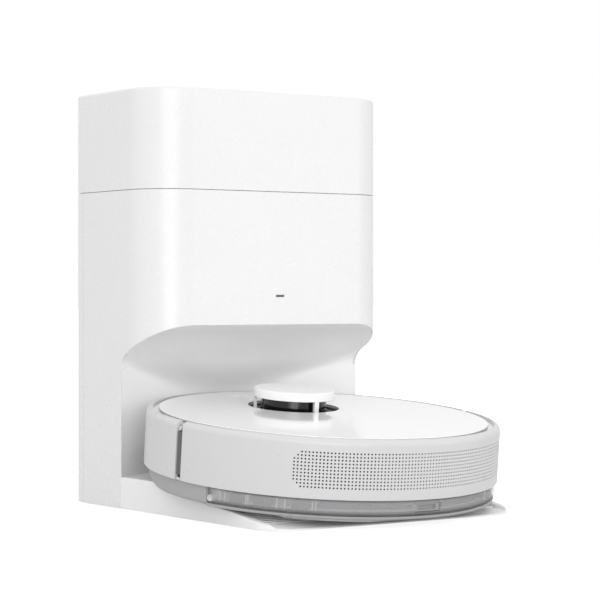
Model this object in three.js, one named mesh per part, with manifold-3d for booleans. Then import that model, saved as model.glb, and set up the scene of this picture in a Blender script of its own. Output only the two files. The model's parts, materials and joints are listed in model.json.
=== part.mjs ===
// Robot vacuum with its self-emptying station: the robot stands nose-up on the station's ramp.
// Millimetres, +Z up. The origin is on the floor under the middle of the whole set.
// X runs across the station, and -Y points out of its bay, the way the robot drives out.
import * as THREE from 'three';
import { mergeVertices } from 'three/addons/utils/BufferGeometryUtils.js';
import Module from 'manifold-3d';

// ---- Driving dimensions: station (Y counts from its back face, negative towards the front) ----
const stationWidth = 294;
const stationHeight = 422.5;
const towerDepth = 153;
const backFaceY = 203.93;         // where the station's back face stands in the set's own frame
const frontCornerR = 48;
const backCornerR = 2.5;
const wall = 2.8;
const gap = 0.3;                  // clearance between pieces that touch
const seamZ = 320.5;              // split between the tower and its lid
const seamGap = 0.8;
const towerBottomZ = 1;
const rearCoverDepth = 12;
const columnSideY = -89.5;        // front edge of the column at the station's sides
const columnFaceY = -46;          // deepest point of the column's hollow face
const bayCeilingZ = 146;          // top of the hollow face
const overhangEdgeZ = 185.5;      // lower front edge of the overhang
const overhangStartZ = 156;       // where the slope under the overhang begins
const baseFrontY = -358;
const baseCornerR = 28;
const baseBottomZ = 0.8;
const rampBreakY = -294;          // the ramp gets steeper from here to its front edge
const rampEdgeZ = 2.4;
const guideInnerX = 138;          // guide walls stand beyond this on both sides
const chamberFloorZ = 252;
const inletHalfWidth = 58;
const lampX = 4;                  // the status light sits a little right of the middle

// ---- Driving dimensions: robot (its own frame: +Y its nose, +Z up, zero in the cover's top plane) ----
const robotR = 175;
const robotCentre = new THREE.Vector3(0, -234.2, 98.5);
const tilt = THREE.MathUtils.degToRad(5.38);
const floorH = -80;               // plane that the wheels stand on
const rimR = 168.7;
const coverR = 162.7;
const coverThickness = 3;
const skin = 3.5;                 // thickness of the outer shell and the bumper
const shellBottomH = -56;
const rimFillet = 6;
const bumperGap = 4.5;            // half the split between the bumper and the rear shell
const bumperSeamY = -12.5;        // middle of that split, behind the robot's widest line
const turretY = 52;
const turretHoleR = 46;
const turretCapR = 40;
const turretTopH = 17.3;
const buttonY = 131;
const hingeY = 150;
const hingeH = -6;
const hingeBarR = 1.4;
const wheelR = 32;
const wheelX = 108;
const wheelWidth = 23;
const brushY = 76;
const brushR = 18;
const casterY = 128;
const casterR = 11;
const sideBrush = { x: 102, y: 112, reach: 35 };
const mopHalfX = 120;
const fan = { x: -112, y: -76, r: 25 };
const tankR = 173.5;
const tankFrontY = -48;
const tankTopH = -56.5;
const tankBottomH = -71.5;
const roundSides = 64;            // facets round the robot's outline
const bin = { x: 74, front: -16, rear: -110, bottom: -52.6, top: -10 };

// ---- Solids ----
const wasm = await Module();
wasm.setup();

function solid(geometry) {
  const bare = geometry.clone();
  bare.deleteAttribute('normal');
  bare.deleteAttribute('uv');
  const merged = mergeVertices(bare, 1e-4);
  const vertProperties = new Float32Array(merged.attributes.position.array);
  const triVerts = new Uint32Array(merged.index.array);
  return new wasm.Manifold(new wasm.Mesh({ numProp: 3, vertProperties, triVerts }));
}

function block([x0, x1], [y0, y1], [z0, z1]) {
  const geometry = new THREE.BoxGeometry(x1 - x0, y1 - y0, z1 - z0);
  geometry.translate((x0 + x1) / 2, (y0 + y1) / 2, (z0 + z1) / 2);
  return solid(geometry);
}

// A round bar from z0 to z1 that stands at (x, y).
function post(radius, z0, z1, x = 0, y = 0, sides = 20) {
  const geometry = new THREE.CylinderGeometry(radius, radius, z1 - z0, sides);
  geometry.rotateX(Math.PI / 2);
  geometry.translate(x, y, (z0 + z1) / 2);
  return solid(geometry);
}

// A round bar along X from x0 to x1, at (y, z).
function bar(radius, x0, x1, y, z, sides = 16) {
  const geometry = new THREE.CylinderGeometry(radius, radius, x1 - x0, sides);
  geometry.rotateZ(Math.PI / 2);
  geometry.translate((x0 + x1) / 2, y, z);
  return solid(geometry);
}

// A profile of [radius, height] points turned about the Z axis.
function turned(profile, sides = roundSides) {
  const geometry = new THREE.LatheGeometry(profile.map(([r, z]) => new THREE.Vector2(r, z)), sides);
  geometry.rotateX(Math.PI / 2);
  return solid(geometry);
}

function prism(shape, z0, z1, curveSegments = 3) {
  const geometry = new THREE.ExtrudeGeometry(shape, { depth: z1 - z0, bevelEnabled: false, curveSegments });
  geometry.translate(0, 0, z0);
  return solid(geometry);
}

// A side profile of [y, z] points carried along X from x0 to x1.
function sidePrism(points, x0, x1) {
  const shape = new THREE.Shape(points.map(([y, z]) => new THREE.Vector2(y, z)));
  const geometry = new THREE.ExtrudeGeometry(shape, { depth: x1 - x0, bevelEnabled: false });
  const axes = new THREE.Matrix4().makeBasis(
    new THREE.Vector3(0, 1, 0), new THREE.Vector3(0, 0, 1), new THREE.Vector3(1, 0, 0));
  geometry.applyMatrix4(axes);
  geometry.translate(x0, 0, 0);
  return solid(geometry);
}

const join = (...solids) => solids.reduce((all, next) => all.add(next));
const cut = (body, ...tools) => tools.reduce((left, tool) => left.subtract(tool), body);
const mirrored = (make) => [make(-1), make(1)];
const span = (centre, half) => [centre - half, centre + half];

// ---- Outlines ----
function roundedOutline(x0, x1, y0, y1, frontR, backR) {
  const shape = new THREE.Shape();
  shape.moveTo(x0 + frontR, y0);
  shape.lineTo(x1 - frontR, y0);
  shape.absarc(x1 - frontR, y0 + frontR, frontR, -Math.PI / 2, 0);
  shape.lineTo(x1, y1 - backR);
  shape.absarc(x1 - backR, y1 - backR, backR, 0, Math.PI / 2);
  shape.lineTo(x0 + backR, y1);
  shape.absarc(x0 + backR, y1 - backR, backR, Math.PI / 2, Math.PI);
  shape.lineTo(x0, y0 + frontR);
  shape.absarc(x0 + frontR, y0 + frontR, frontR, Math.PI, Math.PI * 1.5);
  return shape;
}

function towerPrism(inset, z0, z1) {
  const half = stationWidth / 2 - inset;
  const outline = roundedOutline(-half, half, -towerDepth + inset, -inset,
    frontCornerR - inset, Math.max(backCornerR - inset, 2));
  return prism(outline, z0, z1, 4);
}

function pill(halfLength, halfWidth, x = 0, y = 0) {
  return roundedOutline(x - halfLength, x + halfLength, y - halfWidth, y + halfWidth,
    halfWidth * 0.98, halfWidth * 0.98);
}

// The part of a disc that lies on the rear side of the line y = limit.
function rearSegment(radius, limit, z0, z1, sides = roundSides) {
  const big = radius + 10;
  return cut(post(radius, z0, z1, 0, 0, sides), block([-big, big], [limit, big], [z0 - 1, z1 + 1]));
}

// ---- Pieces ----
const finishes = {
  whiteGloss: { color: 0xf3f3f1, roughness: 0.28, metalness: 0 },
  whiteSatin: { color: 0xeeeeec, roughness: 0.45, metalness: 0 },
  greyPlastic: { color: 0xb9bcbd, roughness: 0.5, metalness: 0 },
  darkPlastic: { color: 0x2a2b2d, roughness: 0.4, metalness: 0 },
  rubber: { color: 0x3a3a3c, roughness: 0.85, metalness: 0 },
  paleRubber: { color: 0xa7a9ab, roughness: 0.8, metalness: 0 },
  smokedTank: { color: 0xb4b7b9, roughness: 0.2, metalness: 0, transparent: true, opacity: 0.6 },
  metal: { color: 0xc4c6c8, roughness: 0.3, metalness: 0.9 },
  board: { color: 0x1f5a3c, roughness: 0.55, metalness: 0 },
  cloth: { color: 0xe9e6df, roughness: 0.95, metalness: 0 },
  paper: { color: 0xd8cbb4, roughness: 0.9, metalness: 0 },
  lamp: { color: 0xfafafa, roughness: 0.3, metalness: 0 },
};

function piece(name, body, finish) {
  const { vertProperties, triVerts } = body.getMesh();
  const geometry = new THREE.BufferGeometry();
  geometry.setAttribute('position', new THREE.BufferAttribute(vertProperties, 3));
  geometry.setIndex(new THREE.BufferAttribute(triVerts, 1));
  geometry.computeVertexNormals();
  const mesh = new THREE.Mesh(geometry, new THREE.MeshStandardMaterial(finishes[finish]));
  mesh.name = name;
  return mesh;
}

// ---- Station: the bay that the robot drives into ----
const halfStation = stationWidth / 2;
const overhangSlope = (overhangEdgeZ - overhangStartZ) / (towerDepth + columnSideY - 8);

// Side profile of the space in front of the column and under the overhang, grown by `grow`.
function bayProfile(grow) {
  const wallY = columnSideY + grow;
  const rise = grow * Math.hypot(1, overhangSlope);
  const startY = columnSideY - 8;
  const slopeZ = (y) => overhangStartZ + rise + (startY - y) * overhangSlope;
  const bend = new THREE.QuadraticBezierCurve(
    new THREE.Vector2(wallY, overhangStartZ + rise - 14),
    new THREE.Vector2(wallY, slopeZ(wallY)),
    new THREE.Vector2(startY - 6, slopeZ(startY - 6)));
  const points = bend.getPoints(4).map((p) => [p.x, p.y]);
  const far = -towerDepth - 20;
  return [[wallY, -5], ...points, [far, slopeZ(far)], [far, -5]];
}

// The column's face is hollow, an arc from side to side, to follow the robot's nose.
function bayPocket(grow) {
  const halfChord = halfStation - wall;
  const sagitta = columnFaceY - columnSideY;
  const radius = (halfChord ** 2 + sagitta ** 2) / (2 * sagitta);
  return post(radius + grow, -5, bayCeilingZ + grow, 0, columnFaceY - radius, 72);
}

function baySpace(grow) {
  const half = halfStation + 20;
  return join(sidePrism(bayProfile(grow), -half, half), bayPocket(grow));
}

// ---- Station: ramp surface, parallel to the plane that the robot's wheels stand on ----
const contactY = robotCentre.y - floorH * Math.sin(tilt);
const contactZ = robotCentre.z + floorH * Math.cos(tilt);
const rampZ = (y) => contactZ - gap / Math.cos(tilt) + (y - contactY) * Math.tan(tilt);

function rampProfile() {
  const rearY = -14;
  return [[rearY, baseBottomZ], [rearY, rampZ(rearY)], [rampBreakY, rampZ(rampBreakY)],
    [baseFrontY, rampEdgeZ], [baseFrontY, baseBottomZ]];
}

function guideProfile() {
  const shoulder = new THREE.CubicBezierCurve(
    new THREE.Vector2(-160, 31.6), new THREE.Vector2(-180, 31),
    new THREE.Vector2(-186, 23.5), new THREE.Vector2(-206, rampZ(-206) + 1));
  const crest = shoulder.getPoints(5).map((p) => [p.x, p.y]);
  return [[-14, baseBottomZ], [-14, 32.4], ...crest, [rampBreakY, rampZ(rampBreakY) + 0.8],
    [baseFrontY, rampEdgeZ + 0.3], [baseFrontY, baseBottomZ]];
}

function rampRibs() {
  const steepness = (rampZ(rampBreakY) - rampEdgeZ) / (rampBreakY - baseFrontY);
  const ribs = [];
  for (let i = 0; i < 7; i += 1) {
    const y = -304 - 7.6 * i;
    const z = rampEdgeZ + (y - baseFrontY) * steepness;
    for (const side of [-1, 1]) {
      ribs.push(block(span(side * 105, 27), span(y, 1.5), [z - 1, z + 0.5]));
    }
  }
  return ribs;
}

const footPlaces = [[-118, -24], [118, -24], [-112, -326], [112, -326]];
const chargeX = 46;
const chargeY = -116;

function dockBase() {
  const plan = prism(roundedOutline(-halfStation, halfStation, baseFrontY, -14, baseCornerR, 1), 0, 60);
  const guides = mirrored((side) => {
    const xs = side < 0 ? [-halfStation, -guideInnerX] : [guideInnerX, halfStation];
    return sidePrism(guideProfile(), ...xs);
  });
  const upper = join(sidePrism(rampProfile(), -halfStation, halfStation), ...guides, ...rampRibs());
  const front = upper.intersect(plan).intersect(baySpace(-gap));
  const hollow = sidePrism([[-100, -1], [-100, rampZ(-100) - 3], [-290, rampZ(-290) - 3], [-340, -1]], -128, 128);
  const tongue = block([-142, 142], [-150, -3.4], [baseBottomZ, 3.4]);
  const passage = block([-122, -78], [-120, -10], [3.4, 18.5]);
  const inlet = block(span(0, inletHalfWidth + 2), span(-172, 14), [-1, 60]);
  const feet = footPlaces.map(([x, y]) => post(9, -1, 2.8, x, y, 12));
  const sockets = mirrored((side) => post(4.3, 5, 60, side * chargeX, chargeY, 12));
  return cut(join(cut(front, hollow), tongue.intersect(towerPrism(wall + gap, 0, 10))),
    passage, inlet, ...feet, ...sockets);
}

function towerShell() {
  const tube = cut(towerPrism(0, towerBottomZ, seamZ), towerPrism(wall, towerBottomZ - 1, seamZ + 1));
  const rearGap = block([-200, 200], [-rearCoverDepth - gap, 20], [-5, 500]);
  const lightSlot = block(span(lampX, 5.1), [-towerDepth - 5, -towerDepth + 10], span(214.7, 1.1));
  return cut(tube, rearGap, baySpace(0), lightSlot);
}

const irWindow = { z: 70, halfX: 32, halfZ: 8 };

function bayLiner() {
  const room = cut(towerPrism(wall + gap, 4.3, chamberFloorZ - 4),
    block([-200, 200], [-rearCoverDepth - 6, 20], [-5, 500]));
  const ductNotch = block([-124, -76], [-140, -10], [0, 19]);
  const window = block(span(0, irWindow.halfX + gap), [-80, -20], span(irWindow.z, irWindow.halfZ + gap));
  return cut(baySpace(3), baySpace(0), ductNotch, window).intersect(room);
}

const hingePin = { y: -2.5, z: 331, x: 90, r: 1.5 };

function rearCover() {
  const ring = cut(towerPrism(0, towerBottomZ, seamZ), towerPrism(wall, towerBottomZ - 1, seamZ + 1));
  const strip = ring.intersect(block([-200, 200], [-rearCoverDepth, 20], [-5, 500]));
  const ears = mirrored((side) => {
    const x = side * hingePin.x;
    const ear = join(block(span(x, 8), [-5, 0], [seamZ - 6, hingePin.z]), bar(2.5, x - 8, x + 8, -2.5, hingePin.z, 10));
    return cut(ear, bar(hingePin.r + gap, x - 20, x + 20, hingePin.y, hingePin.z, 10));
  });
  const slots = [];
  for (let i = 0; i < 7; i += 1) {
    slots.push(block(span(40, 42), [-10, 5], span(202 + 6 * i, 1.5)));
  }
  const socket = block(span(112, 13.3), [-10, 5], span(52, 9.3));
  return cut(join(strip, ...ears), ...slots, socket);
}

function bagTray() {
  const outer = cut(towerPrism(wall + gap, chamberFloorZ, seamZ), block([-200, 200], [-5.6, 20], [0, 500]));
  const inner = cut(towerPrism(wall + gap + 2.4, chamberFloorZ + 3, seamZ + 5), block([-200, 200], [-8, 20], [0, 500]));
  return cut(outer, inner, post(16.4, 240, 260, -100, -38), post(24, 240, 260, 40, -85));
}

function floorDuct() {
  const outer = join(block([-118, inletHalfWidth], span(-172, 15), [4, 16]),
    block([-118, -82], [-172, -20], [4, 16]),
    block(span(0, inletHalfWidth), span(-172, 12), [10, rampZ(-186) - 1]));
  const inner = join(block([-116.4, inletHalfWidth - 1.6], span(-172, 13.4), [5.6, 14.4]),
    block([-116.4, -83.6], [-172, -21.6], [5.6, 14.4]),
    block(span(0, inletHalfWidth - 1.6), span(-172, 10.4), [10, 60]),
    post(14.4, 10, 30, -100, -38));
  return cut(outer, inner);
}

const ductRiser = () => cut(post(16, 16.3, chamberFloorZ - gap, -100, -38), post(14.4, 10, 300, -100, -38));

function inletSeal() {
  const levelled = (grow, deep) => {
    const bottom = (y) => rampZ(y) - deep;
    return sidePrism([[-172 - grow, bottom(-172 - grow)], [-172 + grow, bottom(-172 + grow)],
      [-172 + grow, rampZ(-172 + grow)], [-172 - grow, rampZ(-172 - grow)]],
    -inletHalfWidth - grow + 12, inletHalfWidth + grow - 12);
  };
  return cut(levelled(13.6, 0.9), block(span(0, inletHalfWidth - 2), span(-172, 10), [0, 60]));
}

function fanCasing() {
  const casing = cut(post(44, 196, 246, 40, -85, 28), post(41, 199, 243, 40, -85, 28), post(22, 240, 250, 40, -85));
  const outlet = cut(block([4, 76], [-60, -34], [200, 242]), block([6, 74], [-70, -20], [202, 240]));
  return cut(join(cut(outlet, post(43, 190, 250, 40, -85, 28)), casing),
    block([14, 66], [-60, -30], [206, 236]));
}

// A bladed wheel on a hub, turning about the vertical through (x, y).
function impeller(x, y, radius, z0, z1, blades) {
  const wheel = [post(radius, z0, z0 + 2, x, y), post(radius * 0.3, z0, z1, x, y, 12)];
  for (let i = 0; i < blades; i += 1) {
    const vane = block([radius * 0.2, radius * 0.94], [-0.8, 0.8], [z0 + 1, z1 - 1]);
    wheel.push(vane.rotate([0, 0, (360 * i) / blades]).translate([x, y, 0]));
  }
  return join(...wheel);
}

const exhaustFilter = () => block([-2, 82], [-32, -rearCoverDepth + 7], [198, 244]);

function powerInlet() {
  const body = block(span(112, 13), [-26, -1], span(52, 9));
  const pins = mirrored((side) => bar(1.2, -5, 5, 0, 0, 12).rotate([0, 0, 90]).translate([112 + side * 4.3, -11, 52]));
  return join(cut(body, block(span(112, 9.5), [-16, 5], span(52, 5.5))), ...pins);
}

function powerBoard() {
  const heatSink = block([66, 90], [-46, -30], [140, 175]);
  return join(block([40, 128], [-30.2, -28.6], [84, 186]), heatSink, block([98, 122], [-52, -30], [96, 124]));
}

function statusLight() {
  return join(block(span(lampX, 4.8), [-towerDepth, -towerDepth + 6], span(214.7, 0.8)),
    block(span(lampX, 9), [-towerDepth + 3.2, -towerDepth + 8], span(214.7, 4)));
}

// ---- Station: lid, bag ----
function lidShell() {
  const bottom = seamZ + seamGap;
  const shell = cut(towerPrism(0, bottom, stationHeight), towerPrism(wall, bottom - 1, stationHeight - 3));
  const knuckles = [];
  const notches = [];
  for (const side of [-1, 1]) {
    const x = side * hingePin.x;
    notches.push(block(span(x, 8.5), [-8, 2], [bottom - 1, hingePin.z + 4]));
    knuckles.push(block(span(x, 14), [-5.5, -1], [hingePin.z - 5, hingePin.z + 7]));
  }
  const bores = mirrored((side) => {
    const x = side * hingePin.x;
    return bar(hingePin.r + gap, x - 12.5, x + 12.5, hingePin.y, hingePin.z, 10);
  });
  return cut(join(shell, ...knuckles), ...notches, ...bores);
}

function lidSeal() {
  return cut(towerPrism(6, seamZ + 0.7, seamZ + 4.5), towerPrism(10, seamZ - 1, seamZ + 6),
    block([-200, 200], [-9, 5], [0, 500]));
}

const lidPin = (side) => bar(hingePin.r, side * hingePin.x - 12, side * hingePin.x + 12, hingePin.y, hingePin.z, 10);

function dustBag() {
  const outline = roundedOutline(-122, 96, -120, -24, 24, 24);
  return prism(outline, chamberFloorZ + 7, 392);
}

function bagCollar() {
  return cut(block(span(-100, 26), span(-42, 26), [chamberFloorZ + 3.3, chamberFloorZ + 6.6]),
    post(15, 240, 300, -100, -38));
}

// ---- Robot: outer shell ----
function shellRing() {
  const inner = robotR - skin;
  const fillet = [];
  for (let i = 0; i <= 3; i += 1) {
    const angle = (Math.PI / 2) * (i / 3);
    fillet.push([robotR - rimFillet * (1 - Math.cos(angle)), -rimFillet * (1 - Math.sin(angle))]);
  }
  const profile = [[inner, shellBottomH], [robotR, shellBottomH], ...fillet, [rimR, 0], [rimR, -skin],
    [inner, -skin], [inner, shellBottomH]];
  return turned(profile);
}

const farSide = 300;
const shellBetween = (ys) => shellRing().intersect(block([-farSide, farSide], ys, [-80, 20]));
const rearShell = () => shellBetween([-farSide, bumperSeamY - bumperGap]);
const bumper = () => shellBetween([bumperSeamY + bumperGap, farSide]);

function seamStrip(side) {
  const sleeve = cut(post(robotR - skin - gap, -54, -4.5, 0, 0, roundSides), post(robotR - skin - gap - 2.6, -60, 5, 0, 0, roundSides));
  return sleeve.intersect(block(side < 0 ? [-farSide, 0] : [0, farSide], span(bumperSeamY, 9), [-80, 20]));
}

// ---- Robot: chassis and deck ----
function wheelWell(side) {
  return block(span(side * (wheelX - 4), 20), [-38, 44], [-90, -50]);
}

function armBracket(side) {
  const x = side * 80.5;
  return cut(block(span(x, 3), [28, 42], [-68, -42]), bar(3.4, x - 6, x + 6, 35, -52, 10));
}

function chassis() {
  const plateR = robotR - skin - 2.6;
  const front = cut(post(plateR, -70, -66.6, 0, 0, roundSides), block([-farSide, farSide], [-farSide, tankFrontY + gap], [-80, 0]));
  const step = block([-155, 155], [tankFrontY + gap, tankFrontY + 3], [-70, -53.2]);
  const rear = rearSegment(plateR + 2, tankFrontY + 3, -56.1, -53);
  const arch = cut(bar(brushR + 6.5, -86, 86, brushY, -58), bar(brushR + 3.5, -83, 83, brushY, -58));
  const archTop = arch.intersect(block([-90, 90], [0, 200], [-68, 0]));
  const casterCup = cut(post(23.4, -70, -51, 0, casterY), post(20.8, -80, -53.6, 0, casterY), post(4.4, -60, 0, 0, casterY, 10));
  const opening = block([-83, 83], span(brushY, 21.6), [-80, -60]);
  const brushAxle = mirrored((side) => block(span(side * 84.6, 1.6), span(brushY, 6), [-69, -40]));
  const fanBase = post(10, -68, -60, sideBrush.x, sideBrush.y, 12);
  const solidParts = cut(join(front, step, rear), post(20.8, -80, -60, 0, casterY), opening,
    wheelWell(-1), wheelWell(1));
  return cut(join(solidParts, archTop, casterCup, ...brushAxle, fanBase, armBracket(-1), armBracket(1)),
    post(3.4, -80, -64, sideBrush.x, sideBrush.y, 10));
}

function deck() {
  const plate = post(robotR - skin - 4, -9, -6, 0, 0, roundSides);
  const binHole = block(span(0, bin.x + 1.6), [bin.rear - 1.6, bin.front + 1.6], [-60, 0]);
  const hingePocket = block([-farSide, farSide], [138, 200], [-60, 0]);
  const pillars = [20, 160, 200, 235, 270, 305, 340].map((degrees) => {
    const angle = THREE.MathUtils.degToRad(degrees);
    return post(4.5, -52.6, -8, 156 * Math.cos(angle), 156 * Math.sin(angle), 8);
  });
  const brackets = mirrored((side) => join(block(span(side * 49.4, 2.4), [134, hingeY], [-9, -3.6]),
    bar(2.5, side * 49.4 - 2.4, side * 49.4 + 2.4, hingeY, hingeH, 12)));
  return cut(join(cut(plate, binHole, hingePocket), ...pillars, ...brackets),
    post(turretHoleR - 0.4, -20, 0, 0, turretY, 32), bar(hingeBarR + gap, -60, 60, hingeY, hingeH, 10));
}

const hingeBar = () => bar(hingeBarR, -54, 54, hingeY, hingeH, 10);

function topCover() {
  const disc = post(coverR, -coverThickness, 0, 0, 0, roundSides);
  const arms = mirrored((side) => block(span(side * 42, 4), [hingeY - 7, hingeY + 5], [-9.5, -1]));
  return cut(join(disc, ...arms), post(turretHoleR, -10, 5, 0, turretY, 32),
    prism(pill(23.4, 5), -10, 5).translate([0, buttonY, 0]), bar(hingeBarR + gap, -60, 60, hingeY, hingeH, 10));
}

const coverButton = (side) => prism(pill(11.2, 4.6, side * 11.6, buttonY), -4.4, 0);

// ---- Robot: lidar turret ----
function lidarHousing() {
  const outer = turretHoleR - 0.9;
  const cup = turned([[0, -30], [outer, -30], [outer, -4], [34.5, -4], [34.5, -6.5], [outer - 3, -6.5],
    [outer - 3, -27], [0, -27]], 32).translate([0, turretY, 0]);
  return cut(cup, ...turretPosts(3.4, -12, 0));
}

function turretPosts(radius, z0, z1) {
  return [-90, 30, 150].map((degrees) => {
    const angle = THREE.MathUtils.degToRad(degrees);
    return post(radius, z0, z1, 37.4 * Math.cos(angle), turretY + 37.4 * Math.sin(angle), 8);
  });
}

const lidarDrum = () => join(post(33, -22, 11, 0, turretY, 32), post(6, -26.5, -20, 0, turretY, 10));

function lidarCap() {
  const under = turretTopH - 3;
  const cap = turned([[0, under], [turretCapR - 2.4, under], [turretCapR - 2.4, 8.5], [turretCapR, 8.5],
    [turretCapR, turretTopH - 3], [turretCapR - 0.9, turretTopH - 0.9], [turretCapR - 3, turretTopH],
    [0, turretTopH]], 40).translate([0, turretY, 0]);
  return join(cap, ...turretPosts(2.4, -8, under + 1));
}

// ---- Robot: inside ----
function dustbin() {
  const { x, front, rear, bottom, top } = bin;
  const tub = cut(block([-x, x], [rear, front], [bottom, top]),
    block([-x + 2, x - 2], [rear + 2, front - 2], [bottom + 2, top + 5]));
  return cut(tub, block([-40, 40], [front - 6, front + 5], [-36, -18]), block([-x - 5, -x + 5], [-90, -62], [-44, -20]));
}

function dustbinLid() {
  const { x, front, rear, top } = bin;
  const plate = block([-x, x], [rear, front], [top + gap, -6.4]);
  return join(plate, block([-20, 20], [rear + 6, rear + 10], [-7, -3.6]));
}

const dustbinFilter = () => block([-bin.x + 2.4, -bin.x + 14], [-100, -52], [-50.2, -13]);

function fanHousing() {
  const { x, y, r } = fan;
  const drum = cut(post(r, -52, -14, x, y, 24), post(r - 2.4, -49.6, -16.4, x, y, 24));
  const snout = block([-92, -bin.x - gap], span(y, 12), [-42, -22]);
  const bore = block([-100, -bin.x + 2], span(y, 10), [-40, -24]);
  return cut(join(drum, cut(snout, post(r - 2, -60, 0, x, y, 24))), bore, block([x - 9, x + 9], [y - 40, y - 10], [-44, -26]));
}

const battery = () => prism(roundedOutline(-72, 72, -10, 24, 4, 4), -66.3, -44, 3);

function mainBoard() {
  const chips = [block([-50, -30], [-6, 14], [-38.8, -36.5]), block([4, 30], [0, 16], [-38.8, -36])];
  return join(block([-68, 68], [-12, 46], [-40.6, -38.8]), ...chips);
}

// ---- Robot: underside ----
function brushRoller() {
  const parts = [bar(10, -76, 76, brushY, -60), bar(3, -82.4, 82.4, brushY, -60, 12)];
  for (let i = 0; i < 6; i += 1) {
    const flap = block([-74, 74], [-1.4, 1.4], [6, brushR]).rotate([60 * i, 0, 0]);
    parts.push(flap.translate([0, brushY, -60]));
  }
  return join(...parts);
}

function brushGuard() {
  const plate = prism(roundedOutline(-92, 92, brushY - 28, brushY + 27, 8, 8), -72.6, -70.3, 4);
  return cut(plate, block([-81, 81], span(brushY, 20), [-80, -60]));
}

function sideBrushStar() {
  const star = [post(9, -76.5, -70.4, 0, 0, 24), post(3, -74, -64.5, 0, 0, 12)];
  for (let i = 0; i < 3; i += 1) {
    star.push(block([4, sideBrush.reach], [-3, 3], [-77.6, -75.6]).rotate([0, 0, 90 + 120 * i]));
  }
  return join(...star).translate([sideBrush.x, sideBrush.y, 0]);
}

const wheelH = floorH + wheelR;

function driveWheel(side) {
  const x = side * wheelX;
  const half = wheelWidth / 2;
  return cut(bar(wheelR, x - half, x + half, 0, wheelH, 36), bar(5.4, x - half - 1, x + half + 1, 0, wheelH, 12));
}

function wheelArm(side) {
  const plate = span(side * 90.5, 3.6);
  const axle = span(side * (wheelX - 6), 14);
  const stub = span(side * 82, 6);
  const neck = block(plate, [-1, 36], [-8, 6]).rotate([-6, 0, 0]).translate([0, 0, wheelH]);
  return join(bar(9, ...plate, 0, wheelH), bar(8, ...plate, 35, -52), neck, bar(5, ...axle, 0, wheelH, 12),
    bar(3, ...stub, 35, -52, 10));
}

function casterFork() {
  const body = join(post(20.2, -69, -54.4, 0, casterY), post(4, -56, -48, 0, casterY, 10));
  const slot = block([-7.6, 7.6], span(casterY - 3, 12), [-80, floorH + casterR]);
  const well = bar(casterR + 1, -7.6, 7.6, casterY - 3, floorH + casterR, 20);
  return cut(body, slot, well, bar(2.4, -12, 12, casterY - 3, floorH + casterR, 8));
}

function casterWheel() {
  return join(bar(casterR, -7, 7, casterY - 3, floorH + casterR, 20), bar(2, -11, 11, casterY - 3, floorH + casterR, 8));
}

const latch = { halfX: 15, z: -63.5, halfZ: 4 };

function waterTank() {
  const rounded = turned([[0, tankBottomH], [tankR - 7, tankBottomH], [tankR - 2.5, tankBottomH + 2.5],
    [tankR, tankBottomH + 7], [tankR, tankTopH], [0, tankTopH]]);
  const keep = block([-farSide, farSide], [-farSide, tankFrontY], [-80, 0]);
  const hollow = cut(post(tankR - 9, tankBottomH + 2, tankTopH - 2, 0, 0, roundSides),
    block([-farSide, farSide], [tankFrontY - 2.4, farSide], [-80, 0]));
  const latchRoom = block(span(0, latch.halfX + 3), [-200, -152], span(latch.z, latch.halfZ + 2));
  const latchPocket = block(span(0, latch.halfX + gap), [-200, -155], span(latch.z, latch.halfZ + gap));
  const filler = post(8, -64, 0, 88, -92, 12);
  const body = cut(rounded.intersect(keep), cut(hollow, latchRoom), filler);
  return cut(body, latchPocket);
}

const tankLatch = () => block(span(0, latch.halfX), [-tankR + 2, -160], span(latch.z, latch.halfZ));

function mopPlate() {
  return rearSegment(160, -62, -75.6, -71.9, 36).intersect(block(span(0, mopHalfX), [-154, 0], [-90, 0]));
}

function mopPad() {
  return rearSegment(158, -64, -79, -75.9, 36).intersect(block(span(0, mopHalfX - 2), [-152, 0], [-90, 0]));
}

// ---- Assembly ----
function station() {
  const group = new THREE.Group();
  group.add(
    piece('dock_base', dockBase(), 'whiteSatin'),
    piece('tower_shell', towerShell(), 'whiteGloss'),
    piece('bay_liner', bayLiner(), 'whiteSatin'),
    piece('rear_cover', rearCover(), 'whiteSatin'),
    piece('bag_tray', bagTray(), 'greyPlastic'),
    piece('floor_duct', floorDuct(), 'greyPlastic'),
    piece('duct_riser', ductRiser(), 'greyPlastic'),
    piece('inlet_seal', inletSeal(), 'paleRubber'),
    piece('station_fan_casing', fanCasing(), 'darkPlastic'),
    piece('station_impeller', impeller(40, -85, 36, 204, 234, 7), 'metal'),
    piece('exhaust_filter', exhaustFilter(), 'paper'),
    piece('power_board', powerBoard(), 'board'),
    piece('power_inlet', powerInlet(), 'darkPlastic'),
    piece('status_light', statusLight(), 'lamp'),
    piece('ir_window', block(span(0, irWindow.halfX), [columnFaceY - 1.5, columnFaceY + 1.5], span(irWindow.z, irWindow.halfZ)),
      'darkPlastic'),
    piece('lid_shell', lidShell(), 'whiteGloss'),
    piece('lid_seal', lidSeal(), 'paleRubber'),
    piece('lid_pin_left', lidPin(-1), 'metal'),
    piece('lid_pin_right', lidPin(1), 'metal'),
    piece('dust_bag', dustBag(), 'cloth'),
    piece('bag_collar', bagCollar(), 'paper'));
  for (const [name, side] of [['left', -1], ['right', 1]]) {
    const pin = post(4, 8, 29, side * chargeX, chargeY, 12);
    group.add(piece(`contact_${name}`, pin, 'metal'));
  }
  footPlaces.forEach(([x, y], i) => {
    group.add(piece(`foot_${i + 1}`, post(8.7, 0, 2.5, x, y, 12), 'rubber'));
  });
  return group;
}

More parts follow.
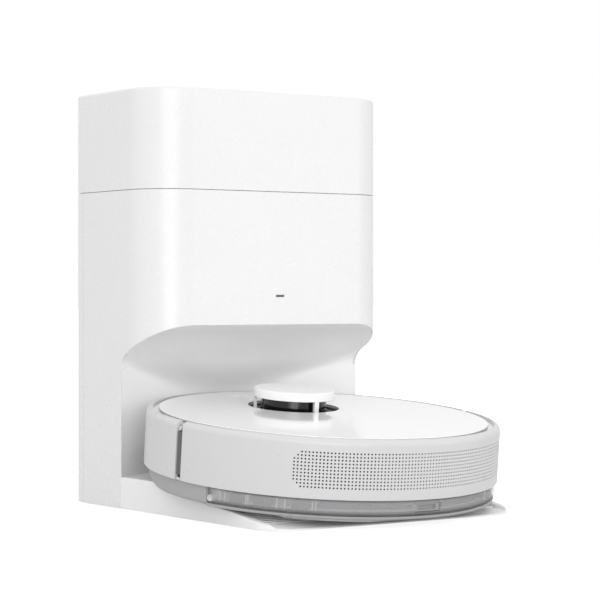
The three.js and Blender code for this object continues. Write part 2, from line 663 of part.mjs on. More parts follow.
function robot() {
  const group = new THREE.Group();
  group.add(
    piece('rear_shell', rearShell(), 'whiteSatin'),
    piece('bumper', bumper(), 'whiteSatin'),
    piece('chassis', chassis(), 'greyPlastic'),
    piece('deck', deck(), 'greyPlastic'),
    piece('hinge_bar', hingeBar(), 'metal'),
    piece('top_cover', topCover(), 'whiteGloss'),
    piece('power_button', coverButton(-1), 'whiteSatin'),
    piece('home_button', coverButton(1), 'whiteSatin'),
    piece('lidar_housing', lidarHousing(), 'darkPlastic'),
    piece('lidar_drum', lidarDrum(), 'darkPlastic'),
    piece('lidar_cap', lidarCap(), 'whiteSatin'),
    piece('dustbin', dustbin(), 'smokedTank'),
    piece('dustbin_lid', dustbinLid(), 'greyPlastic'),
    piece('dustbin_filter', dustbinFilter(), 'paper'),
    piece('fan_housing', fanHousing(), 'darkPlastic'),
    piece('fan_impeller', impeller(fan.x, fan.y, fan.r - 4, -48, -24, 7), 'metal'),
    piece('battery', battery(), 'darkPlastic'),
    piece('main_board', mainBoard(), 'board'),
    piece('brush_roller', brushRoller(), 'rubber'),
    piece('brush_guard', brushGuard(), 'greyPlastic'),
    piece('side_brush', sideBrushStar(), 'greyPlastic'),
    piece('caster_fork', casterFork(), 'darkPlastic'),
    piece('caster_wheel', casterWheel(), 'greyPlastic'),
    piece('water_tank', waterTank(), 'smokedTank'),
    piece('tank_latch', tankLatch(), 'greyPlastic'),
    piece('mop_plate', mopPlate(), 'greyPlastic'),
    piece('mop_pad', mopPad(), 'cloth'));
  for (const [name, side] of [['left', -1], ['right', 1]]) {
    group.add(
      piece(`seam_strip_${name}`, seamStrip(side), 'paleRubber'),
      piece(`wheel_${name}`, driveWheel(side), 'rubber'),
      piece(`wheel_arm_${name}`, wheelArm(side), 'darkPlastic'));
  }
  group.position.copy(robotCentre);
  group.rotation.x = tilt;
  return group;
}

const vacuumSet = new THREE.Group();
vacuumSet.add(station(), robot());
vacuumSet.position.y = backFaceY;
export default vacuumSet;
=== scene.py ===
"""Looks of a robot vacuum parked in its self-emptying station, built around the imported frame.

Lengths in the design notes below are millimetres; MM turns them into the frame's metres.
Station pieces are drawn with Y counted from the station's back face, negative towards the front.
Robot pieces are drawn in the robot's own frame: +Y its nose, +Z up, zero in the cover's top plane.
"""
import json
import math
import random

import bmesh
import bpy
from mathutils import Matrix, Vector
from mathutils.bvhtree import BVHTree


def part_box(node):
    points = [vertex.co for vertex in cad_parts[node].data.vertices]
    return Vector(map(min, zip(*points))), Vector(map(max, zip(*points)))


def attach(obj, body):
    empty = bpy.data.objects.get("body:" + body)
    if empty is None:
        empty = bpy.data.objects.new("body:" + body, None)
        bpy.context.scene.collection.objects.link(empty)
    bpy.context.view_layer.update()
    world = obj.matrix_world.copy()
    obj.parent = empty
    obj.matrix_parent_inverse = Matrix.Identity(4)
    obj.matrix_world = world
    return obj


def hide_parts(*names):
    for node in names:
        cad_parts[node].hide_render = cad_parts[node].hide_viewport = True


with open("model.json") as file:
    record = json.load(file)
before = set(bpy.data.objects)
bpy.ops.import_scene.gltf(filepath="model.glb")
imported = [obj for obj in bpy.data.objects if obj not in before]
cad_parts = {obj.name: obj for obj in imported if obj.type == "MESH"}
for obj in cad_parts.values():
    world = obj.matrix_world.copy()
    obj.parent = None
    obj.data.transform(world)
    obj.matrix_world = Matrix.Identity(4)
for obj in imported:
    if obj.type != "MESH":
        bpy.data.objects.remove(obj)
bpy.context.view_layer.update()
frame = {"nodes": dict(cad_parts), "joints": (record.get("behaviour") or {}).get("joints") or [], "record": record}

MM = 0.001
JOINTS = {joint["name"]: joint for joint in frame["joints"]}

# ---- Station sizes ----
TOWER_LOW, TOWER_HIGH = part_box("tower_shell")
COVER_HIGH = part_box("rear_cover")[1]
BACK_Y = COVER_HIGH.y / MM
HALF_WIDTH = TOWER_HIGH.x / MM
TOWER_DEPTH = BACK_Y - TOWER_LOW.y / MM
TOP_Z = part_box("lid_shell")[1].z / MM
SEAM_Z = TOWER_HIGH.z / MM
SEAM_GAP = 0.8
TOWER_BOTTOM = TOWER_LOW.z / MM
BASE_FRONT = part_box("dock_base")[0].y / MM - BACK_Y
WALL = 2.8
FRONT_R = 48
BACK_R = 2.5
REAR_COVER_DEPTH = 12
COLUMN_SIDE_Y = -89.5
COLUMN_FACE_Y = -46
OVERHANG_START = 156
OVERHANG_EDGE = 185.5
BASE_CORNER_R = 28
RAMP_BREAK_Y = -294
RAMP_EDGE_Z = 2.4
GUIDE_X = 138

# ---- Robot sizes ----
TURRET_Y = 52
ROBOT_R = 175
RIM_R = 168.7
COVER_R = 162.7
SKIN = 3.5
SHELL_BOTTOM = -56
BUMPER_GAP = 4.5
TURRET_HOLE_R = 46
CAP_R = 40.6
CAP_TOP = 18.2
BUTTON_X = 11.6
BUTTON_Y = 131
TANK_R = 173.5
TANK_FRONT_Y = -48
TANK_TOP = -56.5
TANK_BOTTOM = -71.5
WHEEL_BOTTOM = -80

UP = Vector(JOINTS["lidar_spin"]["axis"])
NOSE = Vector((0, UP.z, -UP.y))
CENTRE = Vector(JOINTS["lidar_spin"]["pos_m"]) - NOSE * TURRET_Y * MM
ROBOT = Matrix.Translation(CENTRE) @ Matrix((Vector((1, 0, 0)), NOSE, UP)).transposed().to_4x4()
STATION = Matrix.Translation((0, BACK_Y * MM, 0))


# ---- Mesh helpers ----
def new_object(name, verts, faces, place):
    mesh = bpy.data.meshes.new(name)
    mesh.from_pydata([place @ (Vector(v) * MM) for v in verts], [], faces)
    obj = bpy.data.objects.new(name, mesh)
    bpy.context.collection.objects.link(obj)
    return obj


def evaluate(obj):
    """Applies every modifier on obj."""
    graph = bpy.context.evaluated_depsgraph_get()
    mesh = bpy.data.meshes.new_from_object(obj.evaluated_get(graph))
    obj.modifiers.clear()
    obj.data = mesh
    return obj


def cut(obj, *cutters, operation="DIFFERENCE"):
    for cutter in cutters:
        step = obj.modifiers.new("cut", "BOOLEAN")
        step.object = cutter
        step.operation = operation
        step.solver = "EXACT"
        evaluate(obj)
        bpy.data.objects.remove(cutter)
    return obj


def fuse(obj, *others):
    return cut(obj, *others, operation="UNION")


def soften(obj, width=0.6, segments=3, angle=40):
    """Rounds the sharp edges and shades the rest smooth."""
    step = obj.modifiers.new("edges", "BEVEL")
    step.width = width * MM
    step.segments = segments
    step.limit_method = "ANGLE"
    step.angle_limit = math.radians(angle)
    step.harden_normals = False
    return smooth(evaluate(obj))


def smooth(obj, angle=45):
    """Smooth shading with sharp edges kept, and large flat faces kept flat."""
    obj.data.shade_smooth()
    obj.data.set_sharp_from_angle(angle=math.radians(angle))
    step = obj.modifiers.new("normals", "WEIGHTED_NORMAL")
    step.keep_sharp = True
    return evaluate(obj)


def thicken(outer, inner, faces):
    """A closed shell from a sheet: outer and inner points match one to one."""
    count = len(outer)
    edges = {}
    for face in faces:
        for a, b in zip(face, face[1:] + face[:1]):
            edges[(a, b)] = edges.get((a, b), 0) + 1
    rim = [(a, b) for a, b in edges if (b, a) not in edges]
    sides = [[b, a, a + count, b + count] for a, b in rim]
    back = [[v + count for v in reversed(face)] for face in faces]
    return list(outer) + list(inner), faces + back + sides


def grid_faces(columns, rows, start=0, closed=False):
    faces = []
    for i in range(columns if closed else columns - 1):
        a = start + i * rows
        b = start + ((i + 1) % columns) * rows
        for k in range(rows - 1):
            faces.append([a + k, b + k, b + k + 1, a + k + 1])
    return faces


def arc(cx, cy, radius, start, stop, steps):
    angles = [math.radians(start + (stop - start) * i / steps) for i in range(steps + 1)]
    return [(cx + radius * math.cos(t), cy + radius * math.sin(t)) for t in angles]


def lathe(name, profile, place, steps=128, start=0.0, stop=360.0, centre=(0, 0)):
    """A closed profile of (radius, height) turned about the vertical through centre."""
    full = stop - start >= 360
    rings = steps if full else steps + 1
    verts = []
    for i in range(rings):
        t = math.radians(start + (stop - start) * i / steps)
        verts += [(centre[0] + r * math.cos(t), centre[1] + r * math.sin(t), h) for r, h in profile]
    count = len(profile)
    faces = []
    for i in range(steps):
        a = i * count
        b = ((i + 1) % rings) * count
        for k in range(count):
            n = (k + 1) % count
            faces.append([a + k, b + k, b + n, a + n])
    if not full:
        faces.append(list(range(count)))
        faces.append([steps * count + k for k in reversed(range(count))])
    return tidy(new_object(name, verts, faces, place))


def tidy(obj):
    """Merges doubled points, drops faces without area and turns the normals outwards."""
    work = bmesh.new()
    work.from_mesh(obj.data)
    bmesh.ops.remove_doubles(work, verts=work.verts, dist=1e-6)
    bmesh.ops.dissolve_degenerate(work, edges=work.edges, dist=1e-6)
    bmesh.ops.recalc_face_normals(work, faces=work.faces)
    work.to_mesh(obj.data)
    work.free()
    return obj


def prism(name, outline, z0, z1, place):
    count = len(outline)
    verts = [(x, y, z0) for x, y in outline] + [(x, y, z1) for x, y in outline]
    sides = [[i, (i + 1) % count, (i + 1) % count + count, i + count] for i in range(count)]
    faces = sides + [list(reversed(range(count))), list(range(count, 2 * count))]
    return tidy(new_object(name, verts, faces, place))


def block(name, xs, ys, zs, place):
    (x0, x1), (y0, y1), (z0, z1) = xs, ys, zs
    return prism(name, [(x0, y0), (x1, y0), (x1, y1), (x0, y1)], z0, z1, place)


def rounded_box(x0, x1, y0, y1, front_r, back_r, steps=12):
    """Outline that starts at the left side's rear corner and runs round the front."""
    return (arc(x0 + back_r, y1 - back_r, back_r, 90, 180, steps)
            + arc(x0 + front_r, y0 + front_r, front_r, 180, 270, steps)
            + arc(x1 - front_r, y0 + front_r, front_r, 270, 360, steps)
            + arc(x1 - back_r, y1 - back_r, back_r, 0, 90, steps))


def disc_outline(radius, cx=0, cy=0, steps=48):
    return arc(cx, cy, radius, 0, 360 - 360 / steps, steps - 1)


def pill(half_length, half_width, cx=0, cy=0, steps=10):
    return rounded_box(cx - half_length, cx + half_length, cy - half_width, cy + half_width,
                       half_width * 0.999, half_width * 0.999, steps)


def turned(x, y, z, angle):
    """The place of a spot in millimetres, turned about its own upright."""
    return Matrix.Translation((x * MM, y * MM, z * MM)) @ Matrix.Rotation(angle, 4, "Z")


def lerp(a, b, t):
    return a + (b - a) * t


def ease(t):
    t = min(max(t, 0), 1)
    return t * t * (3 - 2 * t)


# ---- Materials ----
def nodes_of(name):
    material = bpy.data.materials.new(name)
    material.use_nodes = True
    tree = material.node_tree
    return material, tree, tree.nodes["Principled BSDF"]


def noise(tree, scale, detail=3.0, roughness=0.5):
    coords = tree.nodes.new("ShaderNodeTexCoord")
    texture = tree.nodes.new("ShaderNodeTexNoise")
    texture.inputs["Scale"].default_value = scale
    texture.inputs["Detail"].default_value = detail
    texture.inputs["Roughness"].default_value = roughness
    tree.links.new(coords.outputs["Object"], texture.inputs["Vector"])
    return texture.outputs["Fac"]


def spread(tree, value, low, high):
    step = tree.nodes.new("ShaderNodeMapRange")
    step.inputs["From Min"].default_value = 0.3
    step.inputs["From Max"].default_value = 0.7
    step.inputs["To Min"].default_value = low
    step.inputs["To Max"].default_value = high
    tree.links.new(value, step.inputs["Value"])
    return step.outputs["Result"]


def ramp(tree, value, dark, light):
    step = tree.nodes.new("ShaderNodeValToRGB")
    step.color_ramp.elements[0].position = 0.3
    step.color_ramp.elements[1].position = 0.7
    step.color_ramp.elements[0].color = (*dark, 1)
    step.color_ramp.elements[1].color = (*light, 1)
    tree.links.new(value, step.inputs["Fac"])
    return step.outputs["Color"]


def bump(tree, shader, height, distance, strength=1.0):
    step = tree.nodes.new("ShaderNodeBump")
    step.inputs["Distance"].default_value = distance * MM
    step.inputs["Strength"].default_value = strength
    tree.links.new(height, step.inputs["Height"])
    tree.links.new(step.outputs["Normal"], shader.inputs["Normal"])


def plastic(name, colour, roughness, grain=900, relief=0.01, mottle=0.012, alpha=1.0, coat=0.0):
    """Moulded plastic: faint colour drift, uneven gloss and a fine moulded grain."""
    material, tree, shader = nodes_of(name)
    darker = tuple(max(c - mottle, 0) for c in colour)
    tree.links.new(ramp(tree, noise(tree, 14), darker, colour), shader.inputs["Base Color"])
    gloss = spread(tree, noise(tree, 60), roughness * 0.85, roughness * 1.15)
    tree.links.new(gloss, shader.inputs["Roughness"])
    bump(tree, shader, noise(tree, grain, 2), relief)
    shader.inputs["Alpha"].default_value = alpha
    shader.inputs["Coat Weight"].default_value = coat
    shader.inputs["Coat Roughness"].default_value = 0.05
    return material


def grey(value, blue=0.0):
    return (value, value, value + blue)


def liner_white_with_painted_shade():
    """The bay's white with painted shade: a little greyer towards the tower's front edge."""
    material = plastic("liner_white_painted_shade", grey(0.91), 0.5, 1400, 0.01)
    tree = material.node_tree
    split = tree.nodes.new("ShaderNodeSeparateXYZ")
    tree.links.new(tree.nodes.new("ShaderNodeTexCoord").outputs["Object"], split.inputs["Vector"])
    depth = tree.nodes.new("ShaderNodeMapRange")
    depth.inputs["From Min"].default_value = TOWER_LOW.y - 0.03
    depth.inputs["From Max"].default_value = TOWER_LOW.y + 0.11
    tree.links.new(split.outputs["Y"], depth.inputs["Value"])
    # Painted shade: the base colour darkens from deep in the bay out to the front edge.
    shade = ramp(tree, depth.outputs["Result"], grey(0.66), grey(0.91))
    tree.links.new(shade, tree.nodes["Principled BSDF"].inputs["Base Color"])
    return material


# Each finish: colour, roughness, grain scale, relief, and where they differ mottle, alpha and coat.
FINISHES = {
    "white_gloss": (grey(0.75), 0.26, 500, 0.003),
    "white_satin": (grey(0.92), 0.42, 1400, 0.02),
    "base_white": (grey(0.82), 0.42, 1400, 0.02),
    "cap_white": (grey(0.86), 0.42, 1200, 0.002),
    # robot_white is much darker than the other whites: painted shade, so the robot's white walls read shaded.
    "robot_white": (grey(0.6), 0.32, 1200, 0.012),
    "cover_white": (grey(0.9), 0.12, 300, 0.0004, 0.012, 1.0, 0.25),
    "grey_plastic": (grey(0.3, 0.006), 0.45, 1500, 0.03),
    "pale_grey_plastic": (grey(0.6), 0.48, 1500, 0.03),
    "mid_grey_plastic": (grey(0.38), 0.48, 1500, 0.03),
    "dark_plastic": (grey(0.03), 0.42, 1500, 0.03),
    "dark_window": (grey(0.006), 0.08, 200, 0.001, 0.002),
    "rubber": (grey(0.03), 0.7, 700, 0.05),
    "pale_rubber": (grey(0.11), 0.65, 700, 0.05),
    "brush_rubber": (grey(0.03), 0.6, 700, 0.05),
    "tyre_rubber": (grey(0.022), 0.75, 600, 0.06),
    "smoked_clear": (grey(0.58, 0.01), 0.12, 200, 0.002, 0.012, 0.34),
    "metal": (grey(0.62), 0.28, 900, 0.01),
    "circuit_board": ((0.01, 0.09, 0.04), 0.4, 500, 0.02),
    "filter_paper": ((0.6, 0.54, 0.42), 0.85, 800, 0.1),
    "lamp": (grey(0.12), 0.25, 300, 0.002),
    "bag_cloth": (grey(0.66), 0.9, 1200, 0.2),
    "mop_cloth": (grey(0.62), 0.95, 900, 0.4),
}
MATERIALS = {name: plastic(name, *finish) for name, finish in FINISHES.items()}
MATERIALS["metal"].node_tree.nodes["Principled BSDF"].inputs["Metallic"].default_value = 1.0
MATERIALS["liner_white_painted_shade"] = liner_white_with_painted_shade()


def dress(obj, material, body, *replaced, slot=None):
    """Gives a piece its material, the body it rides on and the CAD nodes it stands for."""
    obj.data.materials.clear()
    obj.data.materials.append(MATERIALS[material])
    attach(obj, body)
    if replaced:
        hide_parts(*replaced)
    return obj


# ---- Camera and light ----
def camera():
    lens = bpy.data.cameras.new("view")
    lens.sensor_width = 36
    lens.lens = 127.4
    lens.shift_y = -0.00737
    lens.clip_end = 50
    eye = bpy.data.objects.new("view", lens)
    bpy.context.collection.objects.link(eye)
    eye.location = (-1.22664, -1.94176 + BACK_Y * MM, 0.21509)
    eye.rotation_euler = (math.radians(90), 0, math.radians(-35.06))
    bpy.context.scene.camera = eye


def area_light(name, place, target, size, power):
    lamp = bpy.data.lights.new(name, "AREA")
    lamp.shape = "RECTANGLE"
    lamp.size, lamp.size_y = size
    lamp.energy = power
    obj = bpy.data.objects.new(name, lamp)
    bpy.context.collection.objects.link(obj)
    obj.location = place
    obj.rotation_euler = (Vector(target) - Vector(place)).to_track_quat("-Z", "Y").to_euler()
    return obj


def backdrop():
    """White to the camera; for every other ray a soft sky, dimmest at the horizon and brightest overhead."""
    world = bpy.data.worlds.new("studio")
    bpy.context.scene.world = world
    world.use_nodes = True
    tree = world.node_tree
    tree.nodes["Background"].inputs["Color"].default_value = (1, 1, 1, 1)
    coords = tree.nodes.new("ShaderNodeTexCoord")
    split = tree.nodes.new("ShaderNodeSeparateXYZ")
    tree.links.new(coords.outputs["Generated"], split.inputs["Vector"])
    sky = tree.nodes.new("ShaderNodeMapRange")
    sky.inputs["To Min"].default_value = SKY_HORIZON
    sky.inputs["To Max"].default_value = SKY_ZENITH
    tree.links.new(split.outputs["Z"], sky.inputs["Value"])
    path = tree.nodes.new("ShaderNodeLightPath")
    level = tree.nodes.new("ShaderNodeMapRange")
    level.inputs["To Max"].default_value = 1.0
    tree.links.new(path.outputs["Is Camera Ray"], level.inputs["Value"])
    tree.links.new(sky.outputs["Result"], level.inputs["To Min"])
    tree.links.new(level.outputs["Result"], tree.nodes["Background"].inputs["Strength"])


def floor():
    half = 30000
    obj = block("floor", (-half, half), (-half, half), (-20, -0.2), Matrix())
    material, tree, shader = nodes_of("floor")
    shader.inputs["Base Color"].default_value = (0.6, 0.6, 0.6, 1)
    shader.inputs["Roughness"].default_value = 0.9
    shader.inputs["Specular IOR Level"].default_value = 0.0
    shader.inputs["Emission Color"].default_value = (1, 1, 1, 1)
    path = tree.nodes.new("ShaderNodeLightPath")
    level = tree.nodes.new("ShaderNodeMapRange")
    level.inputs["To Min"].default_value = FLOOR_GLOW
    level.inputs["To Max"].default_value = 0.8
    tree.links.new(path.outputs["Is Camera Ray"], level.inputs["Value"])
    tree.links.new(level.outputs["Result"], shader.inputs["Emission Strength"])
    obj.data.materials.append(material)


SKY_HORIZON = 0.82
SKY_ZENITH = 1.12
FLOOR_GLOW = 0.16


def studio():
    backdrop()
    floor()
    area_light("softbox", (-1.65, -2.5, 1.05), (0, 0, 0.25), (2.4, 1.6), 24)
    area_light("fill", (2.3, -2.4, 1.0), (0, 0, 0.25), (1.6, 2.0), 11)
    area_light("low_fill", (-1.4, -2.2, 0.14), (0, 0, 0.16), (1.2, 0.25), 5.5)
    bpy.context.scene.view_settings.view_transform = "Standard"


# ---- Station: outlines ----
SLOPE = (OVERHANG_EDGE - OVERHANG_START) / (TOWER_DEPTH + COLUMN_SIDE_Y - 8)


def slope_z(y):
    return OVERHANG_START + (COLUMN_SIDE_Y - 8 - y) * SLOPE


def arch_curve(steps=12):
    """The side profile's bend from the column's front edge into the overhang, as (y, z)."""
    a = (COLUMN_SIDE_Y, OVERHANG_START - 14)
    b = (COLUMN_SIDE_Y, slope_z(COLUMN_SIDE_Y))
    c = (COLUMN_SIDE_Y - 14, slope_z(COLUMN_SIDE_Y - 14))
    points = []
    for i in range(steps + 1):
        t = i / steps
        points.append(tuple((1 - t) ** 2 * a[k] + 2 * t * (1 - t) * b[k] + t * t * c[k] for k in (0, 1)))
    return points


def arch_z(y):
    """Height of the tower's lower edge at depth y, in front of the column."""
    points = arch_curve(24)
    if y <= points[-1][0]:
        return slope_z(y)
    for (y0, z0), (y1, z1) in zip(points, points[1:]):
        if y1 <= y <= y0:
            return lerp(z0, z1, (y - y0) / (y1 - y0) if y1 != y0 else 0)
    return points[0][1]


def tower_outline(inset, steps=14):
    half = HALF_WIDTH - inset
    front_r, back_r = FRONT_R - inset, max(BACK_R - inset, 2)
    return rounded_box(-half, half, -TOWER_DEPTH + inset, -inset, front_r, back_r, steps)


def side_path(inset, arch_steps=12):
    """The tower's outline in front of the rear cover, from the left rear round to the right rear."""
    half = HALF_WIDTH - inset
    front = -TOWER_DEPTH + inset
    radius = FRONT_R - inset
    start = -REAR_COVER_DEPTH - 0.3
    bend_ys = [y for y, _ in arch_curve(arch_steps)]
    corner_start = -TOWER_DEPTH + FRONT_R
    left = [(-half, y) for y in (start, -40, -70)] + [(-half, y) for y in bend_ys if y > corner_start]
    left += arc(-half + radius, front + radius, radius, 180, 270, 18)
    middle = [(x, front) for x in (-60, -20, 20, 60)]
    right = [(-x, y) for x, y in reversed(left)]
    return left + middle + right


def tower_shell():
    outer_path = side_path(0)
    inner_path = side_path(WALL)
    rows = 10
    outer, inner, faces = [], [], []
    for (x, y), (ix, iy) in zip(outer_path, inner_path):
        low = arch_z(y) if y < COLUMN_SIDE_Y else OVERHANG_START - 14
        for k in range(rows):
            z = lerp(low, SEAM_Z, k / (rows - 1))
            outer.append((x, y, z))
            inner.append((ix, iy, z))
    faces += grid_faces(len(outer_path), rows)
    for keep in (lambda x: x < 0, lambda x: x > 0):
        sides = [i for i, (x, y) in enumerate(outer_path) if y >= COLUMN_SIDE_Y - 1e-6 and keep(x)]
        for i in sides:
            for path, store in ((outer_path, outer), (inner_path, inner)):
                store.append((*path[i], TOWER_BOTTOM))
        base = len(outer) - len(sides)
        for n, (i, j) in enumerate(zip(sides, sides[1:])):
            faces.append([base + n, base + n + 1, j * rows, i * rows])
    verts, faces = thicken(outer, inner, faces)
    obj = tidy(new_object("tower_skin", verts, faces, STATION))
    low, high = (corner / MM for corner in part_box("status_light"))
    middle, level = (low.x + high.x) / 2, (low.z + high.z) / 2
    cut(obj, block("slot", (middle - 5.1, middle + 5.1), (-TOWER_DEPTH - 5, -TOWER_DEPTH + 10),
                   (level - 1.1, level + 1.1), STATION))
    for side in (-1, 1):
        xs = sorted((side * 140, side * (HALF_WIDTH - 0.7)))
        ys = (COLUMN_SIDE_Y - 5, COLUMN_SIDE_Y + 2)
        cut(obj, block("rebate", xs, ys, (4, OVERHANG_START - 15), STATION))
    dress(soften(obj, 0.5, 3), "white_gloss", "dock", "tower_shell")
    lip = prism("seam_lip", tower_outline(0.5, 18), SEAM_Z - 1, SEAM_Z + 0.4, STATION)
    cut(lip, prism("inside", tower_outline(2.5, 18), SEAM_Z - 2, SEAM_Z + 2, STATION))
    dress(smooth(lip, 30), "white_gloss", "dock")


def lid_shell():
    bottom = SEAM_Z + SEAM_GAP
    fillet = 3
    levels = [(0, bottom), (0, (bottom + TOP_Z) / 2)]
    levels += [(fillet - r, z) for r, z in arc(0, TOP_Z - fillet, fillet, 0, 90, 6)]
    obj = loft("lid_skin", [(tower_outline(inset, 18), z) for inset, z in levels], STATION)
    cut(obj, prism("inside", tower_outline(WALL, 18), bottom - 5, TOP_Z - 3, STATION))
    pin = JOINTS["lid_hinge"]["pos_m"][2] / MM
    for x in (-90, 90):
        fuse(obj, block("knuckle", (x - 14, x + 14), (-5.5, -0.4), (pin - 5, pin + 7), STATION))
        cut(obj, block("notch", (x - 8.5, x + 8.5), (-8, 2), (bottom - 1, pin + 4), STATION))
    dress(soften(obj, 0.7, 3), "white_gloss", "lid", "lid_shell")


# ---- Station: bay and base ----
CHORD = HALF_WIDTH - 0.9
SAGITTA = COLUMN_FACE_Y - COLUMN_SIDE_Y
FACE_R = (CHORD ** 2 + SAGITTA ** 2) / (2 * SAGITTA)


def face_y(x):
    """Depth of the column's hollow face at x."""
    return COLUMN_FACE_Y - FACE_R + math.sqrt(FACE_R ** 2 - min(abs(x), CHORD) ** 2)


def front_y(x, inset=0.0):
    """Depth of the tower's front wall at x, its corners rounded."""
    half, radius = HALF_WIDTH - inset, FRONT_R - inset
    past = max(abs(x) - (half - radius), 0)
    return -TOWER_DEPTH + inset + radius - math.sqrt(max(radius ** 2 - past ** 2, 0))


def bay_path(x, low, steps=24):
    """The liner's surface at x: up the column's face, round a bend that starts gently, and out."""
    side = ease(abs(x) / CHORD)
    wall_y = face_y(x)
    start_z = lerp(100, OVERHANG_START - 16, side)
    end_y = wall_y - lerp(84, 14, side)
    points = [(wall_y, lerp(low, start_z, k / 6)) for k in range(6)]
    a, b, c = (wall_y, start_z), (wall_y, slope_z(wall_y)), (end_y, slope_z(end_y))
    for k in range(steps + 1):
        t = k / steps
        share = (1 - t) ** 3 * (1 + t), 2 * t * (1 - t) * (1 + t - t * t), t ** 3 * (2 - t)
        points.append(tuple(share[0] * a[n] + share[1] * b[n] + share[2] * c[n] for n in (0, 1)))
    last = min(front_y(x, 0.8), end_y - 0.5)
    points += [(y, slope_z(y)) for y in (lerp(end_y, last, k / 5) for k in range(1, 6))]
    return points


def bay_liner():
    half = HALF_WIDTH - 0.8
    columns = [half * math.sin(math.radians(a)) for a in range(-90, 91, 3)]
    proud = 0.15
    outer, inner = [], []
    for x in columns:
        path = bay_path(x, 4.3)
        for k, (y, z) in enumerate(path):
            (y0, z0), (y1, z1) = path[max(k - 1, 0)], path[min(k + 1, len(path) - 1)]
            length = math.hypot(y1 - y0, z1 - z0)
            across, along = (z1 - z0) / length, (y0 - y1) / length
            outer.append((x, y - proud * across, z - proud * along))
            inner.append((x, y + 2.8 * across, z + 2.8 * along))
    faces = [list(reversed(face)) for face in grid_faces(len(columns), len(bay_path(0, 4.3)))]
    verts, faces = thicken(outer, inner, faces)
    obj = tidy(new_object("bay_skin", verts, faces, STATION))
    low, high = (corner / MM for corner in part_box("ir_window"))
    cut(obj, block("window", (low.x - 0.3, high.x + 0.3), (-80, -20), (low.z - 0.3, high.z + 0.3), STATION),
        block("duct", (-124, -76), (-140, -10), (0, 19), STATION))
    # The liner's material carries painted shade, greyer towards the tower's front edge.
    dress(smooth(obj, 50), "liner_white_painted_shade", "dock", "bay_liner", slot="white_satin")
    window(low, high)


def window(low, high):
    """The dark infrared window in the column, bent to the column's face."""
    columns = [lerp(low.x + 0.3, high.x - 0.3, i / 24) for i in range(25)]
    rows = [lerp(low.z + 0.3, high.z - 0.3, k / 6) for k in range(7)]
    outer = [(x, face_y(x) - 0.4, z) for x in columns for z in rows]
    inner = [(x, y + 2.4, z) for x, y, z in outer]
    faces = [list(reversed(face)) for face in grid_faces(25, 7)]
    obj = tidy(new_object("ir_glass", *thicken(outer, inner, faces), STATION))
    dress(soften(obj, 0.5), "dark_window", "dock", "ir_window")


SLANT = NOSE.z / NOSE.y
RAMP_AT = ((CENTRE + UP * WHEEL_BOTTOM * MM).y / MM - BACK_Y, (CENTRE + UP * WHEEL_BOTTOM * MM).z / MM)


def ramp_z(y):
    """Top of the base: parallel to the plane of the wheels, then down to the front edge."""
    if y < RAMP_BREAK_Y:
        return lerp(RAMP_EDGE_Z, ramp_z(RAMP_BREAK_Y), (y - BASE_FRONT) / (RAMP_BREAK_Y - BASE_FRONT))
    return RAMP_AT[1] - 0.3 + (y - RAMP_AT[0]) * SLANT


def guide_z(y):
    """Top of the walls beside the robot: level, then down in an S to the ramp."""
    if y > -158:
        return 32.4
    if y < -200:
        return ramp_z(y) + 2.2
    return lerp(32.4, ramp_z(-200) + 2.2, ease((-158 - y) / 42))


def base_z(x, y):
    """Height of the base's top at a point, with its outer edges rounded over."""
    height = lerp(ramp_z(y), guide_z(y), ease((abs(x) - GUIDE_X + 2) / 3.5))
    dx, dy = HALF_WIDTH - abs(x), y - BASE_FRONT
    if dx < BASE_CORNER_R and dy < BASE_CORNER_R:
        depth = BASE_CORNER_R - math.hypot(BASE_CORNER_R - dx, BASE_CORNER_R - dy)
    else:
        depth = min(dx, dy)
    fillet = 1.3
    if depth < fillet:
        height -= fillet - math.sqrt(max(fillet ** 2 - (fillet - max(depth, 0)) ** 2, 0))
    return height


def base_edge(x):
    past = max(abs(x) - (HALF_WIDTH - BASE_CORNER_R), 0)
    return BASE_FRONT + BASE_CORNER_R - math.sqrt(max(BASE_CORNER_R ** 2 - past ** 2, 0))


def dock_base():
    right = [0, 20, 40, 60, 80, 100, 112, 119, 123, 126, 129, 132, 134, 136, 136.6, 137.2, 137.8, 138.4, 139,
             139.6, 140.4, 142, 143.5, 144.7, 145.5, 146, 146.4, 146.7, 146.9, 147]
    columns = [-x for x in reversed(right[1:])] + right
    nose = (0, 0.1, 0.3, 0.6, 1, 1.5, 2.5, 4, 6, 8, 11, 14, 18, 22, 26, 30, 36, 44, 54, 64)
    ys = [BASE_FRONT + step for step in nose] + [-290 + 4 * i for i in range(61)]
    top, low = [], []
    for x in columns:
        for y in ys:
            y = min(max(y, base_edge(x)), face_y(x) - 0.3)
            top.append((x, y, base_z(x, y)))
            low.append((x, y, TOWER_BOTTOM))
    faces = grid_faces(len(columns), len(ys))
    obj = tidy(new_object("base_body", *thicken(top, low, faces), STATION))
    cut(obj, merge("pockets", pockets()), block("inlet", (-60, 60), (-186, -158), (-1, 60), STATION))
    holes = [prism("socket", disc_outline(4.3, x, -116, 24), -1, 60, STATION) for x in (-46, 46)]
    holes.append(block("passage", (-122, -78), (-156, -10), (3.4, 18.5), STATION))
    cut(obj, merge("sockets", holes))
    cut(obj, merge("grooves", grip_grooves()))
    dress(smooth(obj, 35), "base_white", "dock", "dock_base", slot="white_satin")


def merge(name, objects):
    """Joins separate solids into one object without a boolean."""
    work = bmesh.new()
    for obj in objects:
        work.from_mesh(obj.data)
        bpy.data.objects.remove(obj)
    mesh = bpy.data.meshes.new(name)
    work.to_mesh(mesh)
    work.free()
    obj = bpy.data.objects.new(name, mesh)
    bpy.context.collection.objects.link(obj)
    return obj


